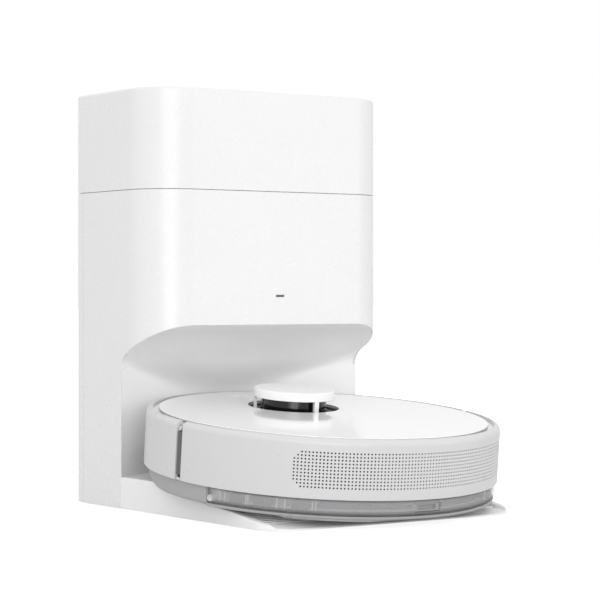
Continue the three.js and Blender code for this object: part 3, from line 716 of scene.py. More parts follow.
def pockets():
    """Hollows under the base that leave crossing ribs 3 mm wide."""
    made = []
    bands = [(-338, -318), (-315, -292), (-289, -240), (-237, -192), (-152, -103)]
    for y0, y1 in bands:
        for x0, x1 in ((-128, -66), (-63, -1.5), (1.5, 63), (66, 128)):
            points = [(y0, -1), (y1, -1), (y1, ramp_z(y1) - 3), (y0, ramp_z(y0) - 3)]
            if min(points[2][1], points[3][1]) > 2:
                made.append(prism("pocket", points, x0, x1, SIDEWAYS))
    points = [(-189, -1), (-155, -1), (-155, ramp_z(-155) - 3), (-189, ramp_z(-189) - 3)]
    made.append(prism("pocket", points, -128, 128, SIDEWAYS))
    return made


def grip_grooves():
    """Sloping notches across both sides of the entry slope; the bars between them grip the wheels."""
    made = []
    for i in range(9):
        y = -281 - 6.6 * i
        for side in (-1, 1):
            deep, shallow = ramp_z(y + 2.6) - 1.7, ramp_z(y - 1.4) - 0.1
            profile = [(y - 1.4, shallow), (y + 2.2, deep), (y + 2.6, deep), (y + 2.6, 60), (y - 1.4, 60)]
            made.append(prism("groove", profile, *sorted((side * 85, side * 137)), SIDEWAYS))
    return made


def rear_cover():
    half = HALF_WIDTH
    outer = [(x, y) for x, y in tower_outline(0, 10) if y > -60]
    inner = [(x, y) for x, y in tower_outline(WALL, 10) if y > -60]
    start = -REAR_COVER_DEPTH
    path = [(-half, start)] + sorted(outer) + [(half, start)]
    back = [(half - WALL, start)] + sorted(inner, reverse=True) + [(-half + WALL, start)]
    obj = prism("rear_skin", path + back, TOWER_BOTTOM, SEAM_Z, STATION)
    slots = [prism("slot", pill(42, 1.5, 40, 202 + 6 * i), -10, 5, UPRIGHT) for i in range(7)]
    rim = rounded_box(INLET_X - 13.3, INLET_X + 13.3, INLET_Z - 9.3, INLET_Z + 9.3, 3, 3, 5)
    socket = prism("socket", rim, -10, 5, UPRIGHT)
    ledge = prism("ledge", rounded_box(-60, 60, 1.5, 14, 5, 5, 6), -0.9, 5, UPRIGHT)
    cut(obj, merge("openings", slots + [socket, ledge] + [
        prism("screw", disc_outline(4.2, x, z, 32), -1.6, 5, UPRIGHT) for x, z in SCREWS]))
    pin = JOINTS["lid_hinge"]["pos_m"][2] / MM
    for side in (-1, 1):
        x = side * 90
        ear = block("ear", (x - 8, x + 8), (-5, 0), (SEAM_Z - 6, pin + 0.4), STATION)
        fuse(ear, prism("knuckle", disc_outline(2.5, -2.5, pin, 24), x - 8, x + 8, SIDEWAYS))
        fuse(obj, ear)
        cut(obj, prism("bore", disc_outline(1.8, -2.5, pin, 20), x - 20, x + 20, SIDEWAYS))
    dress(soften(obj, 0.6, 3), "white_gloss", "dock", "rear_cover", slot="white_satin")
    for n, (x, z) in enumerate(SCREWS):
        screw(f"cover_screw_{n + 1}", UPRIGHT, x, z, -1.5, "dock")


def screw(name, place, x, y, level, body, radius=2.9):
    """A cross-head screw, its head's top at level + 1.2."""
    profile = [(0, level - 2), (radius * 0.6, level - 2), (radius, level), (radius, level + 0.7),
               (radius * 0.75, level + 1.1), (0, level + 1.2)]
    obj = lathe(name, profile, place, 24, centre=(x, y))
    wide, narrow = radius * 0.62, radius * 0.16
    for a, b in ((wide, narrow), (narrow, wide)):
        cut(obj, block("cross", (x - a, x + a), (y - b, y + b), (level + 0.1, level + 3), place))
    return dress(smooth(obj, 30), "metal", body)


UPRIGHT = STATION @ Matrix(((1, 0, 0, 0), (0, 0, 1, 0), (0, 1, 0, 0), (0, 0, 0, 1)))
SIDEWAYS = STATION @ Matrix(((0, 0, 1, 0), (1, 0, 0, 0), (0, 1, 0, 0), (0, 0, 0, 1)))
INLET_X, INLET_Z = 112, 52
SCREWS = [(-132, 12), (132, 12), (-132, 180), (132, 180), (-132, 308), (132, 308)]


# ---- Robot: outer shell ----
HOLE_COLUMNS = 80
HOLE_ROWS = 11
HOLE_PITCH = 3.2
HOLE_R = 0.88
HOLE_TOP = -11.4
GRILLE_HALF_ANGLE = 44.5
HOLE_SIDES = 12
GAP_HALF_ANGLE = math.degrees(math.asin(BUMPER_GAP / ROBOT_R))
SEAM_TURN = 4.1


def shell_levels():
    """Outer wall heights from the bottom up to the rim's fillet, with one row per line of holes."""
    return ([SHELL_BOTTOM, SHELL_BOTTOM + 0.5, -52, HOLE_TOP - HOLE_PITCH * HOLE_ROWS - 0.8]
            + [HOLE_TOP - HOLE_PITCH * (HOLE_ROWS - k) for k in range(HOLE_ROWS + 1)] + [-8.5])


def shell_profile():
    """Matching outer and inner points (radius, height) of the moulded wall and its rounded rim."""
    outer = [(ROBOT_R - 0.4, SHELL_BOTTOM)] + [(ROBOT_R, h) for h in shell_levels()[1:]]
    inner = [(ROBOT_R - SKIN + 0.4, SHELL_BOTTOM)] + [(ROBOT_R - SKIN, h) for h in shell_levels()[1:]]
    for r, h in arc(ROBOT_R - 6, -6, 6, 0, 90, 12):
        outer.append((r, h))
    for r, h in arc(ROBOT_R - 6, -6, 2.5, 0, 90, 12):
        inner.append((r, h))
    outer += [(RIM_R + 0.2, -0.02), (RIM_R, -0.2), (RIM_R - 0.1, -0.7)]
    inner += [(RIM_R + 0.1, -3.4), (RIM_R, -3.5), (RIM_R - 0.1, -3.4)]
    return outer, inner


def around(radius, angle, height, nose):
    """A point on the robot, its angle in degrees measured from the nose or from the tail."""
    t = math.radians(angle)
    side = 1 if nose else -1
    return (radius * math.sin(t), side * radius * math.cos(t), height)


def is_hole(column, row):
    """The grille's corners are cut off in steps."""
    edge = min(column, HOLE_COLUMNS - 1 - column)
    return edge >= {0: 2, 1: 1}.get(min(row, HOLE_ROWS - 1 - row), 0)


def shell(name, nose, node, body):
    outer_profile, inner_profile = shell_profile()
    steps = 30
    half = GRILLE_HALF_ANGLE
    end = 90 - GAP_HALF_ANGLE + (SEAM_TURN if nose else -SEAM_TURN)
    angles = [lerp(-end, -half, i / steps) for i in range(steps)]
    angles += [lerp(-half, half, i / HOLE_COLUMNS) for i in range(HOLE_COLUMNS)]
    angles += [lerp(half, end, i / steps) for i in range(steps + 1)]
    outer = [around(r, a, h, nose) for a in angles for r, h in outer_profile]
    inner = [around(r, a, h, nose) for a in angles for r, h in inner_profile]
    rows = len(outer_profile)
    first = shell_levels().index(HOLE_TOP - HOLE_PITCH * HOLE_ROWS)
    faces = []
    for i in range(len(angles) - 1):
        for k in range(rows - 1):
            corners = [i * rows + k, (i + 1) * rows + k, (i + 1) * rows + k + 1, i * rows + k + 1]
            column, row = i - steps, k - first
            inside = 0 <= column < HOLE_COLUMNS and 0 <= row < HOLE_ROWS
            if nose or not inside or not is_hole(column, row):
                faces.append(corners)
                continue
            middle = (angles[i] + angles[i + 1]) / 2
            height = (outer_profile[k][1] + outer_profile[k + 1][1]) / 2
            start = len(outer)
            for step in range(HOLE_SIDES):
                t = math.radians(225 + 360 * step / HOLE_SIDES)
                turn = math.degrees(HOLE_R * math.cos(t) / ROBOT_R)
                spot = (middle + turn, height + HOLE_R * math.sin(t))
                outer.append(around(ROBOT_R, *spot, nose))
                inner.append(around(ROBOT_R - SKIN, *spot, nose))
            faces += hole_faces(corners, start)
    if nose:
        faces = [list(reversed(face)) for face in faces]
    verts, faces = thicken(outer, inner, faces)
    obj = tidy(new_object(name, verts, faces, ROBOT))
    # The shell's white is painted shade: darker than the robot's white plastic.
    return dress(smooth(obj, 32), "robot_white", body, node)


def hole_faces(corners, start):
    """Triangles between a grid cell's four corners and the hole in it."""
    faces = []
    quarter = HOLE_SIDES // 4
    for side in range(4):
        a, b = corners[side], corners[(side + 1) % 4]
        ring = [start + (side * quarter + n) % HOLE_SIDES for n in range(quarter + 1)]
        faces += [[a, ring[1], ring[0]], [a, b, ring[1]], [b, ring[2], ring[1]], [b, ring[3], ring[2]]]
    return faces


def grille_backing():
    """The dark mesh behind the exhaust holes."""
    r = ROBOT_R - SKIN - 0.3
    profile = [(r - 1, -48), (r, -48), (r, -9.5), (r - 1, -9.5)]
    obj = lathe("grille_backing", profile, ROBOT, 96, 270 - 47, 270 + 47)
    dress(smooth(obj), "dark_plastic", "robot")


def seam_strips():
    """The grey rubber in the gap between bumper and rear shell, short of the bumper's travel."""
    r = ROBOT_R - SKIN - 0.3
    sides = (("left", 180 + SEAM_TURN, -0.92, 1.42), ("right", -SEAM_TURN, -1.42, 0.92))
    for name, middle, start, stop in sides:
        sleeve = lathe(f"seam_{name}", [(r - 2.4, -54), (r, -54), (r, -4.6), (r - 2.4, -4.6)], ROBOT, 12,
                       middle - 3, middle + 3)
        dress(smooth(sleeve), "dark_plastic", "robot", f"seam_strip_{name}", slot="pale_rubber")
        strip = [(r - 1, -50.6), (ROBOT_R - 0.5, -50.6), (ROBOT_R - 0.5, -9.8), (r - 1, -9.8)]
        obj = lathe(f"seam_rubber_{name}", strip, ROBOT, 4, middle + start, middle + stop)
        dress(soften(obj, 0.3, 2), "pale_rubber", "robot")
        inward = -0.4 if name == "left" else 0.4
        nub = [(r - 1, -9), (ROBOT_R - 1.2, -9), (ROBOT_R - 1.2, -6.4), (ROBOT_R - 3, -4.6), (r - 1, -4.6)]
        low = [(r - 1, -55.8), (ROBOT_R - 0.9, -55.8), (ROBOT_R - 0.9, -53.4), (r - 1, -53.4)]
        ends = [lathe("nub", nub, ROBOT, 4, middle + inward - 0.5, middle + inward + 0.5),
                lathe("low", low, ROBOT, 4, middle - 0.9, middle + 0.9)]
        dress(soften(merge(f"seam_ends_{name}", ends), 0.3, 2), "robot_white", "robot")


def groove_ring():
    """The floor of the groove round the top cover, open over the hinge."""
    arcs = (("rear", RIM_R + 1.6, 185.7, 354.3), ("left", RIM_R + 0.9, 127, 182.5),
            ("right", RIM_R + 0.9, -2.5, 53))
    for name, outer_r, start, stop in arcs:
        profile = [(157, -5.7), (outer_r, -5.7), (outer_r, -3.7), (157, -3.7)]
        obj = lathe(f"groove_{name}", profile, ROBOT, 96, start, stop)
        dress(smooth(obj, 30), "white_satin", "robot" if name == "rear" else "bumper")


# ---- Robot: top cover and turret ----
def top_cover():
    t = 3
    profile = [(0, -t), (COVER_R - 1.4, -t), (COVER_R - 1.4, -1), (COVER_R, -0.8), (COVER_R, -0.3),
               (COVER_R - 0.1, -0.1), (COVER_R - 0.3, 0), (0, 0)]
    obj = lathe("cover_plate", profile, ROBOT, 288)
    hole = [(0, -10), (TURRET_HOLE_R, -10), (TURRET_HOLE_R, 5), (0, 5)]
    turret = lathe("hole", hole, ROBOT, 128, centre=(0, TURRET_Y))
    cut(obj, turret, prism("keys", pill(23.4, 5, 0, BUTTON_Y, 12), -10, 5, ROBOT))
    at = ROBOT.inverted() @ Vector(JOINTS["cover_hinge"]["pos_m"]) / MM
    for side in (-1, 1):
        arm = block("arm", (side * 42 - 4, side * 42 + 4), (at.y - 7, at.y + 5), (-9.5, -2), ROBOT)
        cut(arm, prism("bore", disc_outline(1.7, at.y, at.z, 24), side * 42 - 9, side * 42 + 9, ACROSS))
        fuse(obj, arm)
    dress(smooth(obj, 40), "cover_white", "cover", "top_cover", slot="white_gloss")
    # Painted shade: a mid-grey ring just under the cover's edge, so the shaded gap round the cover shows as a thin
    # dark line.
    edge_shade = [(COVER_R - 2, -t + 0.2), (COVER_R - 0.4, -t + 0.2), (COVER_R - 0.4, -0.95), (COVER_R - 2, -0.95)]
    dress(lathe("cover_edge_shade_ring", edge_shade, ROBOT, 192), "mid_grey_plastic", "cover", slot="grey_plastic")


ACROSS = ROBOT @ Matrix(((0, 0, 1, 0), (1, 0, 0, 0), (0, 1, 0, 0), (0, 0, 0, 1)))


def buttons():
    for name, side in (("power_button", -1), ("home_button", 1)):
        x = side * BUTTON_X
        obj = prism(f"{name}_key", pill(11.2, 4.6, x, BUTTON_Y, 10), -4.4, -0.05, ROBOT)
        dress(soften(obj, 0.45, 3), "white_satin", name, name)
    line = [(1.5, -0.3), (1.95, -0.3), (1.95, 0.0), (1.5, 0.0)]
    ring = lathe("power_mark", line, ROBOT, 32, -235, 55, (-BUTTON_X, BUTTON_Y))
    fuse(ring, block("stroke", (-11.83, -11.37), (BUTTON_Y + 0.6, BUTTON_Y + 2.4), (-0.3, 0.0), ROBOT))
    dress(ring, "grey_plastic", "power_button")
    house = [(-2.1, -0.2), (0, 1.9), (2.1, -0.2), (1.5, -0.2), (1.5, -1.8), (-1.5, -1.8), (-1.5, -0.2)]
    mark = prism("home_mark", [(BUTTON_X + x, BUTTON_Y + y) for x, y in house], -0.3, 0.0, ROBOT)
    cut(mark, block("door", (11.1, 12.1), (BUTTON_Y - 2, BUTTON_Y - 0.4), (-1, 1), ROBOT))
    dress(mark, "grey_plastic", "home_button")


def lidar_housing():
    r = TURRET_HOLE_R - 0.9
    profile = [(0, -30), (r - 1, -30), (r, -29), (r, -4.6), (r - 0.5, -4), (35.3, -4), (34.5, -4.8),
               (34.5, -6.5), (r - 3, -6.5), (r - 3, -27), (0, -27)]
    obj = lathe("turret_well", profile, ROBOT, 96, centre=(0, TURRET_Y))
    for middle in POSTS:
        slot = [(36, -12), (40.8, -12), (40.8, 0), (36, 0)]
        cut(obj, lathe("slot", slot, ROBOT, 6, middle - 5.4, middle + 5.4, (0, TURRET_Y)))
    dress(smooth(obj, 35), "dark_plastic", "robot", "lidar_housing")


POSTS = (-90, 30, 150)


def lidar_drum():
    profile = [(0, -26.5), (6, -26.5), (6, -22), (32.2, -22), (33, -21.2), (33, -0.6), (32.6, -0.2),
               (32.6, 0.4), (33, 0.8), (33, 8.6), (32.6, 9.2), (32.6, 9.6), (32.9, 10.2), (32.2, 11),
               (10, 11), (9, 10.2), (0, 10.2)]
    obj = lathe("laser_drum", profile, ROBOT, 96, centre=(0, TURRET_Y))
    dress(smooth(obj, 30), "dark_window", "lidar_drum", "lidar_drum")
    for name, angle in (("emitter", 250), ("receiver", 285)):
        t = math.radians(angle)
        spot = (32.2 * math.cos(t), TURRET_Y + 32.2 * math.sin(t), 4.6)
        aim = turned(*spot, t) @ Matrix.Rotation(math.radians(90), 4, "Y")
        lens = [(0, -1), (3.3, -1), (3.3, 0.7), (2.9, 0.78), (2.7, 0.35), (1.8, 0.55), (0, 0.75)]
        dress(smooth(lathe(f"laser_{name}", lens, ROBOT @ aim, 32)), "dark_window", "lidar_drum")


def lidar_cap():
    top, r = CAP_TOP, CAP_R
    profile = [(0, top - 3), (r - 3.4, top - 3), (r - 2.4, top - 4), (r - 2.4, 9.4), (r - 0.3, 9.4)]
    profile += [(r, 9.7), (r, top - 1.3)] + arc(r - 1.2, top - 1.2, 1.2, 6, 90, 8) + [(12, top), (0, top)]
    obj = lathe("turret_cap", profile, ROBOT, 128, centre=(0, TURRET_Y))
    for middle in POSTS:
        leg = [(r - 3.2, -8), (r - 0.15, -8), (r - 0.15, 12), (r - 3.2, 12)]
        fuse(obj, lathe("leg", leg, ROBOT, 6, middle - 3.6, middle + 3.6, (0, TURRET_Y)))
    dress(smooth(obj, 35), "cap_white", "lidar_cap", "lidar_cap", slot="robot_white")


# ---- Robot: water tank and mop ----
def rear_part(name, profile, chord_y, place=None, steps=192, deepest=None):
    """A turned profile, kept only behind the line y = chord_y."""
    obj = lathe(name, profile, place or ROBOT, steps)
    cut(obj, block("front", (-300, 300), (chord_y, 300), (-120, 60), ROBOT))
    if deepest:
        cut(obj, block("tail", (-300, 300), (-300, deepest), (-120, 60), ROBOT))
    return obj


def tank_outline(inset):
    """A circle's rear part with its two front corners rounded, inset all round."""
    radius, chord, corner = TANK_R - inset, TANK_FRONT_Y - inset, max(7 - inset, 1.2)
    cy = chord - corner
    cx = math.sqrt((radius - corner) ** 2 - cy ** 2)
    turn = math.degrees(math.atan2(cy, cx))
    return (arc(cx, cy, corner, 90, turn, 8) + arc(0, 0, radius, turn, -180 - turn, 120)[1:-1]
            + arc(-cx, cy, corner, 180 - turn, 90, 8))


def loft(name, outlines, place):
    """A closed solid through a stack of matching outlines, each (points, height)."""
    count = len(outlines[0][0])
    verts = [(x, y, h) for points, h in outlines for x, y in points]
    faces = []
    for k in range(len(outlines) - 1):
        for i in range(count):
            a, b = k * count + i, k * count + (i + 1) % count
            faces.append([a, b, b + count, a + count])
    last = (len(outlines) - 1) * count
    faces += [list(reversed(range(count))), [last + i for i in range(count)]]
    return tidy(new_object(name, verts, faces, place))


def tank_solid(name, wall):
    """The tank's outside, or its hollow where wall is more than zero."""
    low, top, fillet = TANK_BOTTOM + wall, TANK_TOP - wall, 7 - wall
    levels = [(fillet - r, low + fillet + h) for r, h in arc(0, 0, fillet, -90, 0, 8)]
    stack = [(tank_outline(wall + inset), h) for inset, h in levels + [(0, top - 0.6), (0.5, top)]]
    return loft(name, stack, ROBOT)


def water_tank():
    obj = cut(tank_solid("tank_wall", 0), tank_solid("hollow", 1.8))
    cut(obj, block("latch_room", (-15.2, 15.2), (-200, -155), (-67.7, -59.3), ROBOT))
    dress(smooth(obj, 35), "smoked_clear", "tank", "water_tank")
    tank_inside()


def tank_inside():
    """What shows through the tank's wall: a floor tray, pump boxes, ribs, a long dark rail low down, and a dark
    band along the top that is painted shadow from the shell above.
    """
    low, top = TANK_BOTTOM + 2.0, TANK_TOP - 2.0
    dish = [(0, low), (158, low), (164, low + 1.2), (165.6, low + 3.6), (164.6, low + 3.8), (157, low + 1.4)]
    tray = rear_part("tank_tray", dish + [(0, low + 1.4)], TANK_FRONT_Y - 3)
    dress(smooth(tray, 35), "pale_grey_plastic", "tank")
    pumps = ((204.8, 209.6, 2.4), (213, 219, 1.8), (225.6, 231, 2.4), (320, 327, 3))
    boxes = [ring_piece(160, 168.4, low + lift, top - 0.6, start, stop, 8) for start, stop, lift in pumps]
    # The upper dark band, just under the tank's top, is painted shadow from the shell; the lower one is a rail.
    boxes += [ring_piece(162, 168.4, h0, h1, *span, 48)
              for h0, h1 in ((low + 4.4, low + 6.2), (top - 3, top)) for span in ((234, 265), (275, 318))]
    dress(soften(merge("tank_pumps_rail_and_painted_shadow", boxes), 0.5, 2), "dark_plastic", "tank")
    tank_walls("tank_reservoir", "grey_plastic", 24, (209.6, 213), (219, 266))
    tank_walls("tank_divider", "dark_plastic", 48, (274, 322))
    ribs_at = (201.4, 203.2, 210.7, 211.4, 221, 223.6, 232.2, 233.2, 305, 318, 330)
    ribs = [ring_piece(158, 169.6, low + 1.6, top, angle - 0.25, angle + 0.25, 1) for angle in ribs_at]
    dress(merge("tank_ribs", ribs), "pale_grey_plastic", "tank")
    tank_walls("tank_ends", "white_satin", 12, (196.6, 204.6), (322, 342))
    lip("tank_lip", 159.4, "tank", block("middle", (-120.3, 120.3), (-200, 0), (-90, -60), ROBOT))
    tank_plug()


def tank_walls(name, material, steps, *spans):
    """Upright curved walls behind the tank's clear skin, one for each span of degrees."""
    low, top = TANK_BOTTOM + 2.0, TANK_TOP - 2.0
    walls = [ring_piece(157, 161, low + 1, top, *span, steps) for span in spans]
    dress(merge(name, walls), material, "tank")


def tank_plug():
    """The round plug near the tank's left end."""
    t = math.radians(198.2)
    c, s = math.cos(t), math.sin(t)
    outwards = Matrix(((-s, 0, c, 0), (c, 0, s, 0), (0, 1, 0, 0), (0, 0, 0, 1)))
    profile = [(0, 160), (3.4, 160), (3.4, 172.2), (2.6, 173.4), (1.7, 173.4), (1.5, 172.6), (0, 172.6)]
    obj = lathe("tank_plug", profile, ROBOT @ outwards, 32, centre=(0, -66.4))
    dress(smooth(obj, 35), "pale_grey_plastic", "tank")


def ring_piece(inner, outer, h0, h1, start, stop, steps):
    return lathe("part", [(inner, h0), (outer, h0), (outer, h1), (inner, h1)], ROBOT, steps, start, stop)


def tank_latch():
    obj = block("latch_key", (-15, 15), (-TANK_R + 2, -160), (-67.5, -59.5), ROBOT)
    cut(obj, block("grip", (-10, 10), (-TANK_R, -TANK_R + 4.4), (-65.4, -61.6), ROBOT))
    dress(soften(obj, 0.8, 3), "grey_plastic", "tank_latch", "tank_latch")


def mop_plate():
    low, top = -75.6, -71.9
    rim = [(0, low), (158.8, low), (160, low + 1.2), (160, top - 0.4), (159.6, top), (0, top)]
    obj = rear_part("mop_carrier", rim, -62, deepest=-154)
    slots = [prism("slot", pill(9, 2.2, x, y), -80, -60, ROBOT)
             for x in (-90, -45, 45, 90) for y in (-84, -122)]
    cut(obj, merge("sides", outside(120)))
    cut(obj, merge("slots", slots))
    dress(soften(obj, 0.4, 2), "pale_grey_plastic", "mop", "mop_plate")
    lip("mop_lip", 152, "mop", *outside(119.7))


def outside(x):
    """Two blocks that cut away what lies further than x to either side of the tail."""
    return [block("side", sorted((s * x, s * 200)), (-200, 0), (-90, -60), ROBOT) for s in (-1, 1)]


def lip(name, inner_r, body, *cutters):
    """A stretch of the grey lip under the tank's wall, what the cutters leave of it."""
    low, top = -74.6, -71.6
    edge = [(169.8, low), (171.6, low + 0.8), (172.2, top - 0.8), (171.4, top)]
    obj = lathe(name, [(inner_r, low)] + edge + [(inner_r, top)], ROBOT, 144, 196.8, 343.2)
    dress(smooth(cut(obj, *cutters), 35), "mid_grey_plastic", body, slot="grey_plastic")


def mop_half_width(y):
    return min(math.sqrt(158 ** 2 - y ** 2), 118)


def mop_pad():
    """A looped microfibre pad: crowned, thinner at its sewn edge, with rows of soft loops."""
    rows, columns = 46, 150
    y0, y1 = -152, -64
    top, low = [], []
    for i in range(columns + 1):
        for k in range(rows + 1):
            y = lerp(y0, y1, k / rows)
            half = mop_half_width(y)
            x = lerp(-half, half, i / columns)
            edge = min(y - y0, y1 - y, half - abs(x))
            round_off = 1 - math.sqrt(max(1 - (1 - min(max(edge, 0) / 3, 1)) ** 2, 0))
            stitched = 0.45 * math.exp(-((edge - 5) / 0.9) ** 2)
            loops = 0.28 * math.sin(x * 1.9 + 0.8 * math.sin(y * 0.4)) * math.sin(y * 1.7)
            top.append((x, y, -75.95 - 0.5 * round_off))
            low.append((x, y, lerp(-78.7, -76.6, round_off) + stitched + loops * (1 - round_off)))
    faces = [list(reversed(face)) for face in grid_faces(columns + 1, rows + 1)]
    obj = tidy(new_object("mop_cloth", *thicken(low, top, faces), ROBOT))
    dress(smooth(obj, 60), "mop_cloth", "mop", "mop_pad")


# ---- Robot: wheels and brushes ----
WHEEL_X = 108
TYRE_R = 32


def wheel_place(side):
    x, z = side * WHEEL_X * MM, (WHEEL_BOTTOM + TYRE_R) * MM
    return ROBOT @ Matrix(((0, 0, side, x), (side, 0, 0, 0), (0, 1, 0, z), (0, 0, 0, 1)))


def wheels():
    for name, side in (("left", -1), ("right", 1)):
        place = wheel_place(side)
        wheel = f"wheel_{name}"
        dress(tread(f"tyre_{name}", place), "tyre_rubber", wheel, wheel, slot="tyre_rubber")
        profile = [(5.6, -9), (24.5, -9), (24.5, 8.5), (22, 8.5), (21, 6), (9, 5), (8, 9.5), (5.6, 9.5)]
        hub = lathe(f"hub_{name}", profile, place, 64)
        spokes = [prism("gap", arc(0, 0, 19.5, a, a + 44, 8) + arc(0, 0, 11, a + 44, a, 6), 3.2, 12, place)
                  for a in range(0, 360, 60)]
        cut(hub, merge("gaps", spokes))
        dress(soften(hub, 0.4, 2), "grey_plastic", wheel)


def tread(name, place):
    """A tyre with slanted bars, built ring by ring."""
    ring = [(25, -11), (30.6, -11.2), (31.2, -10.6), (32, -9), (32, -3.1), (32, 3.1), (32, 9), (31.2, 10.6),
            (30.6, 11.2), (25, 11)]
    count = len(ring)
    steps = 160
    verts = []
    for i in range(steps):
        for r, h in ring:
            lowered = 1.9 if r > 31 and (i + round(abs(h) * 0.32)) % 5 in (3, 4) else 0
            t = math.tau * i / steps
            verts.append(((r - lowered) * math.cos(t), (r - lowered) * math.sin(t), h))
    faces = [[i * count + k, (i + 1) % steps * count + k, (i + 1) % steps * count + (k + 1) % count,
              i * count + (k + 1) % count] for i in range(steps) for k in range(count)]
    return smooth(tidy(new_object(name, verts, faces, place)), 30)


def brush_roller():
    """Six rubber fins in a chevron round the roller, with a core and two end caps."""
    place = ROBOT @ Matrix(((0, 0, 1, 0), (1, 0, 0, 76 * MM), (0, 1, 0, -60 * MM), (0, 0, 0, 1)))
    core = [(0, -76), (9.4, -76), (10, -75.4), (10, 75.4), (9.4, 76), (3, 76), (3, 82.4), (0, 82.4)]
    core = [(0, -82.4), (3, -82.4), (3, -76)] + core[1:]
    obj = lathe("brush_core", core, place, 48)
    dress(smooth(obj, 35), "dark_plastic", "main_brush", "brush_roller", slot="brush_rubber")
    fins = [brush_fin(60 * n, place) for n in range(6)]
    dress(smooth(merge("brush_fins", fins), 40), "brush_rubber", "main_brush", slot="brush_rubber")


def brush_fin(degrees, place):
    """One fin, bent to a chevron, thinner outwards and with a lightly waved edge."""
    outer, inner = [], []
    for i in range(61):
        x = lerp(-74, 74, i / 60)
        turn = math.radians(degrees + 46 * (1 - abs(x) / 74))
        for r in (9, 11, 13, 15):
            reach = r + 0.35 * (math.sin(x * 0.5) - 1) if r == 15 else r
            thick = lerp(1.3, 0.55, (r - 9) / 6)
            for store, sign in ((outer, 1), (inner, -1)):
                a = turn + sign * thick / r
                store.append((reach * math.cos(a), reach * math.sin(a), x))
    return tidy(new_object("fin", *thicken(outer, inner, grid_faces(61, 4)), place))


def brush_guard():
    y = 76
    obj = prism("brush_frame", rounded_box(-92, 92, y - 28, y + 27, 8, 8, 8), -72.6, -70.3, ROBOT)
    cut(obj, block("mouth", (-81, 81), (y - 20, y + 20), (-80, -60), ROBOT))
    clips = [block("clip", (x - 7, x + 7), (y + 21.5, y + 25.5), (-74, -72), ROBOT) for x in (-60, 60)]
    cut(obj, merge("clips", clips))
    dress(soften(obj, 0.6, 3), "grey_plastic", "robot", "brush_guard")


def side_brush():
    joint = ROBOT.inverted() @ Vector(JOINTS["side_brush_spin"]["pos_m"]) / MM
    hub = [(0, -76.2), (6, -76.2), (8.4, -75.2), (9, -73.8), (9, -70.4), (3, -70.4), (3, -64.5), (0, -64.5)]
    obj = lathe("sweeper_hub", hub, ROBOT, 48, centre=(joint.x, joint.y))
    dress(smooth(obj, 35), "grey_plastic", "side_brush", "side_brush")
    dice = random.Random(7)
    arms, hairs = [], []
    for n in range(3):
        place = ROBOT @ turned(joint.x, joint.y, 0, math.radians(90 + 120 * n))
        arms.append(block("arm", (6, 17), (-2.3, 2.3), (-77.4, -75.7), place))
        for _ in range(34):
            y, z = dice.uniform(-2.0, 2.0), dice.uniform(-77.2, -76)
            hairs.append(hair(y, z, dice.uniform(31, 34.6), y * dice.uniform(0.9, 1.5), place))
    dress(soften(merge("sweeper_arms", arms), 0.5, 2), "pale_rubber", "side_brush")
    dress(merge("sweeper_bristles", hairs), "grey_plastic", "side_brush")


def hair(y, z, reach, spread_y, place):
    """One tapering bristle, square in section."""
    verts = []
    for x, w, k in ((15, 0.22, 0), (24, 0.2, 0.45), (reach, 0.09, 1)):
        at = lerp(y, spread_y, k)
        verts += [(x, at - w, z - w), (x, at + w, z - w), (x, at + w, z + w), (x, at - w, z + w)]
    edges = [(4 * s + i, 4 * s + (i + 1) % 4) for s in (0, 1) for i in range(4)]
    faces = [[a, b, b + 4, a + 4] for a, b in edges] + [[3, 2, 1, 0], [8, 9, 10, 11]]
    return tidy(new_object("hair", verts, faces, place))


def underside_details():
    """Screws, cliff sensors and the two charging pads under the nose."""
    spots = ((-140, 60), (140, 60), (-62, 150), (62, 150), (-126, -30), (126, -30), (0, 30))
    for n, (x, y) in enumerate(spots):
        screw(f"chassis_screw_{n + 1}", BELOW, x, -y, 69.0, "robot", 3)
    for n, degrees in enumerate((62, 90, 118, 12, 168)):
        t = math.radians(degrees)
        x, y = 152 * math.cos(t), 152 * math.sin(t)
        place = ROBOT @ turned(x, y, 0, t + math.pi / 2)
        obj = prism(f"cliff_sensor_{n + 1}", pill(9, 4.4, 0, 0, 8), -70.6, -69, place)
        dress(soften(obj, 0.4, 2), "dark_window", "robot")
    for n, x in enumerate((-46, 46)):
        y = -116 - (CENTRE.y / MM - BACK_Y)
        outline = rounded_box(x - 12, x + 12, y - 7, y + 7, 2, 2, 5)
        pad = prism(f"charge_pad_{n + 1}", outline, -70.7, -69, ROBOT)
        dress(soften(pad, 0.3, 2), "metal", "robot")


BELOW = ROBOT @ Matrix(((1, 0, 0, 0), (0, -1, 0, 0), (0, 0, -1, 0), (0, 0, 0, 1)))


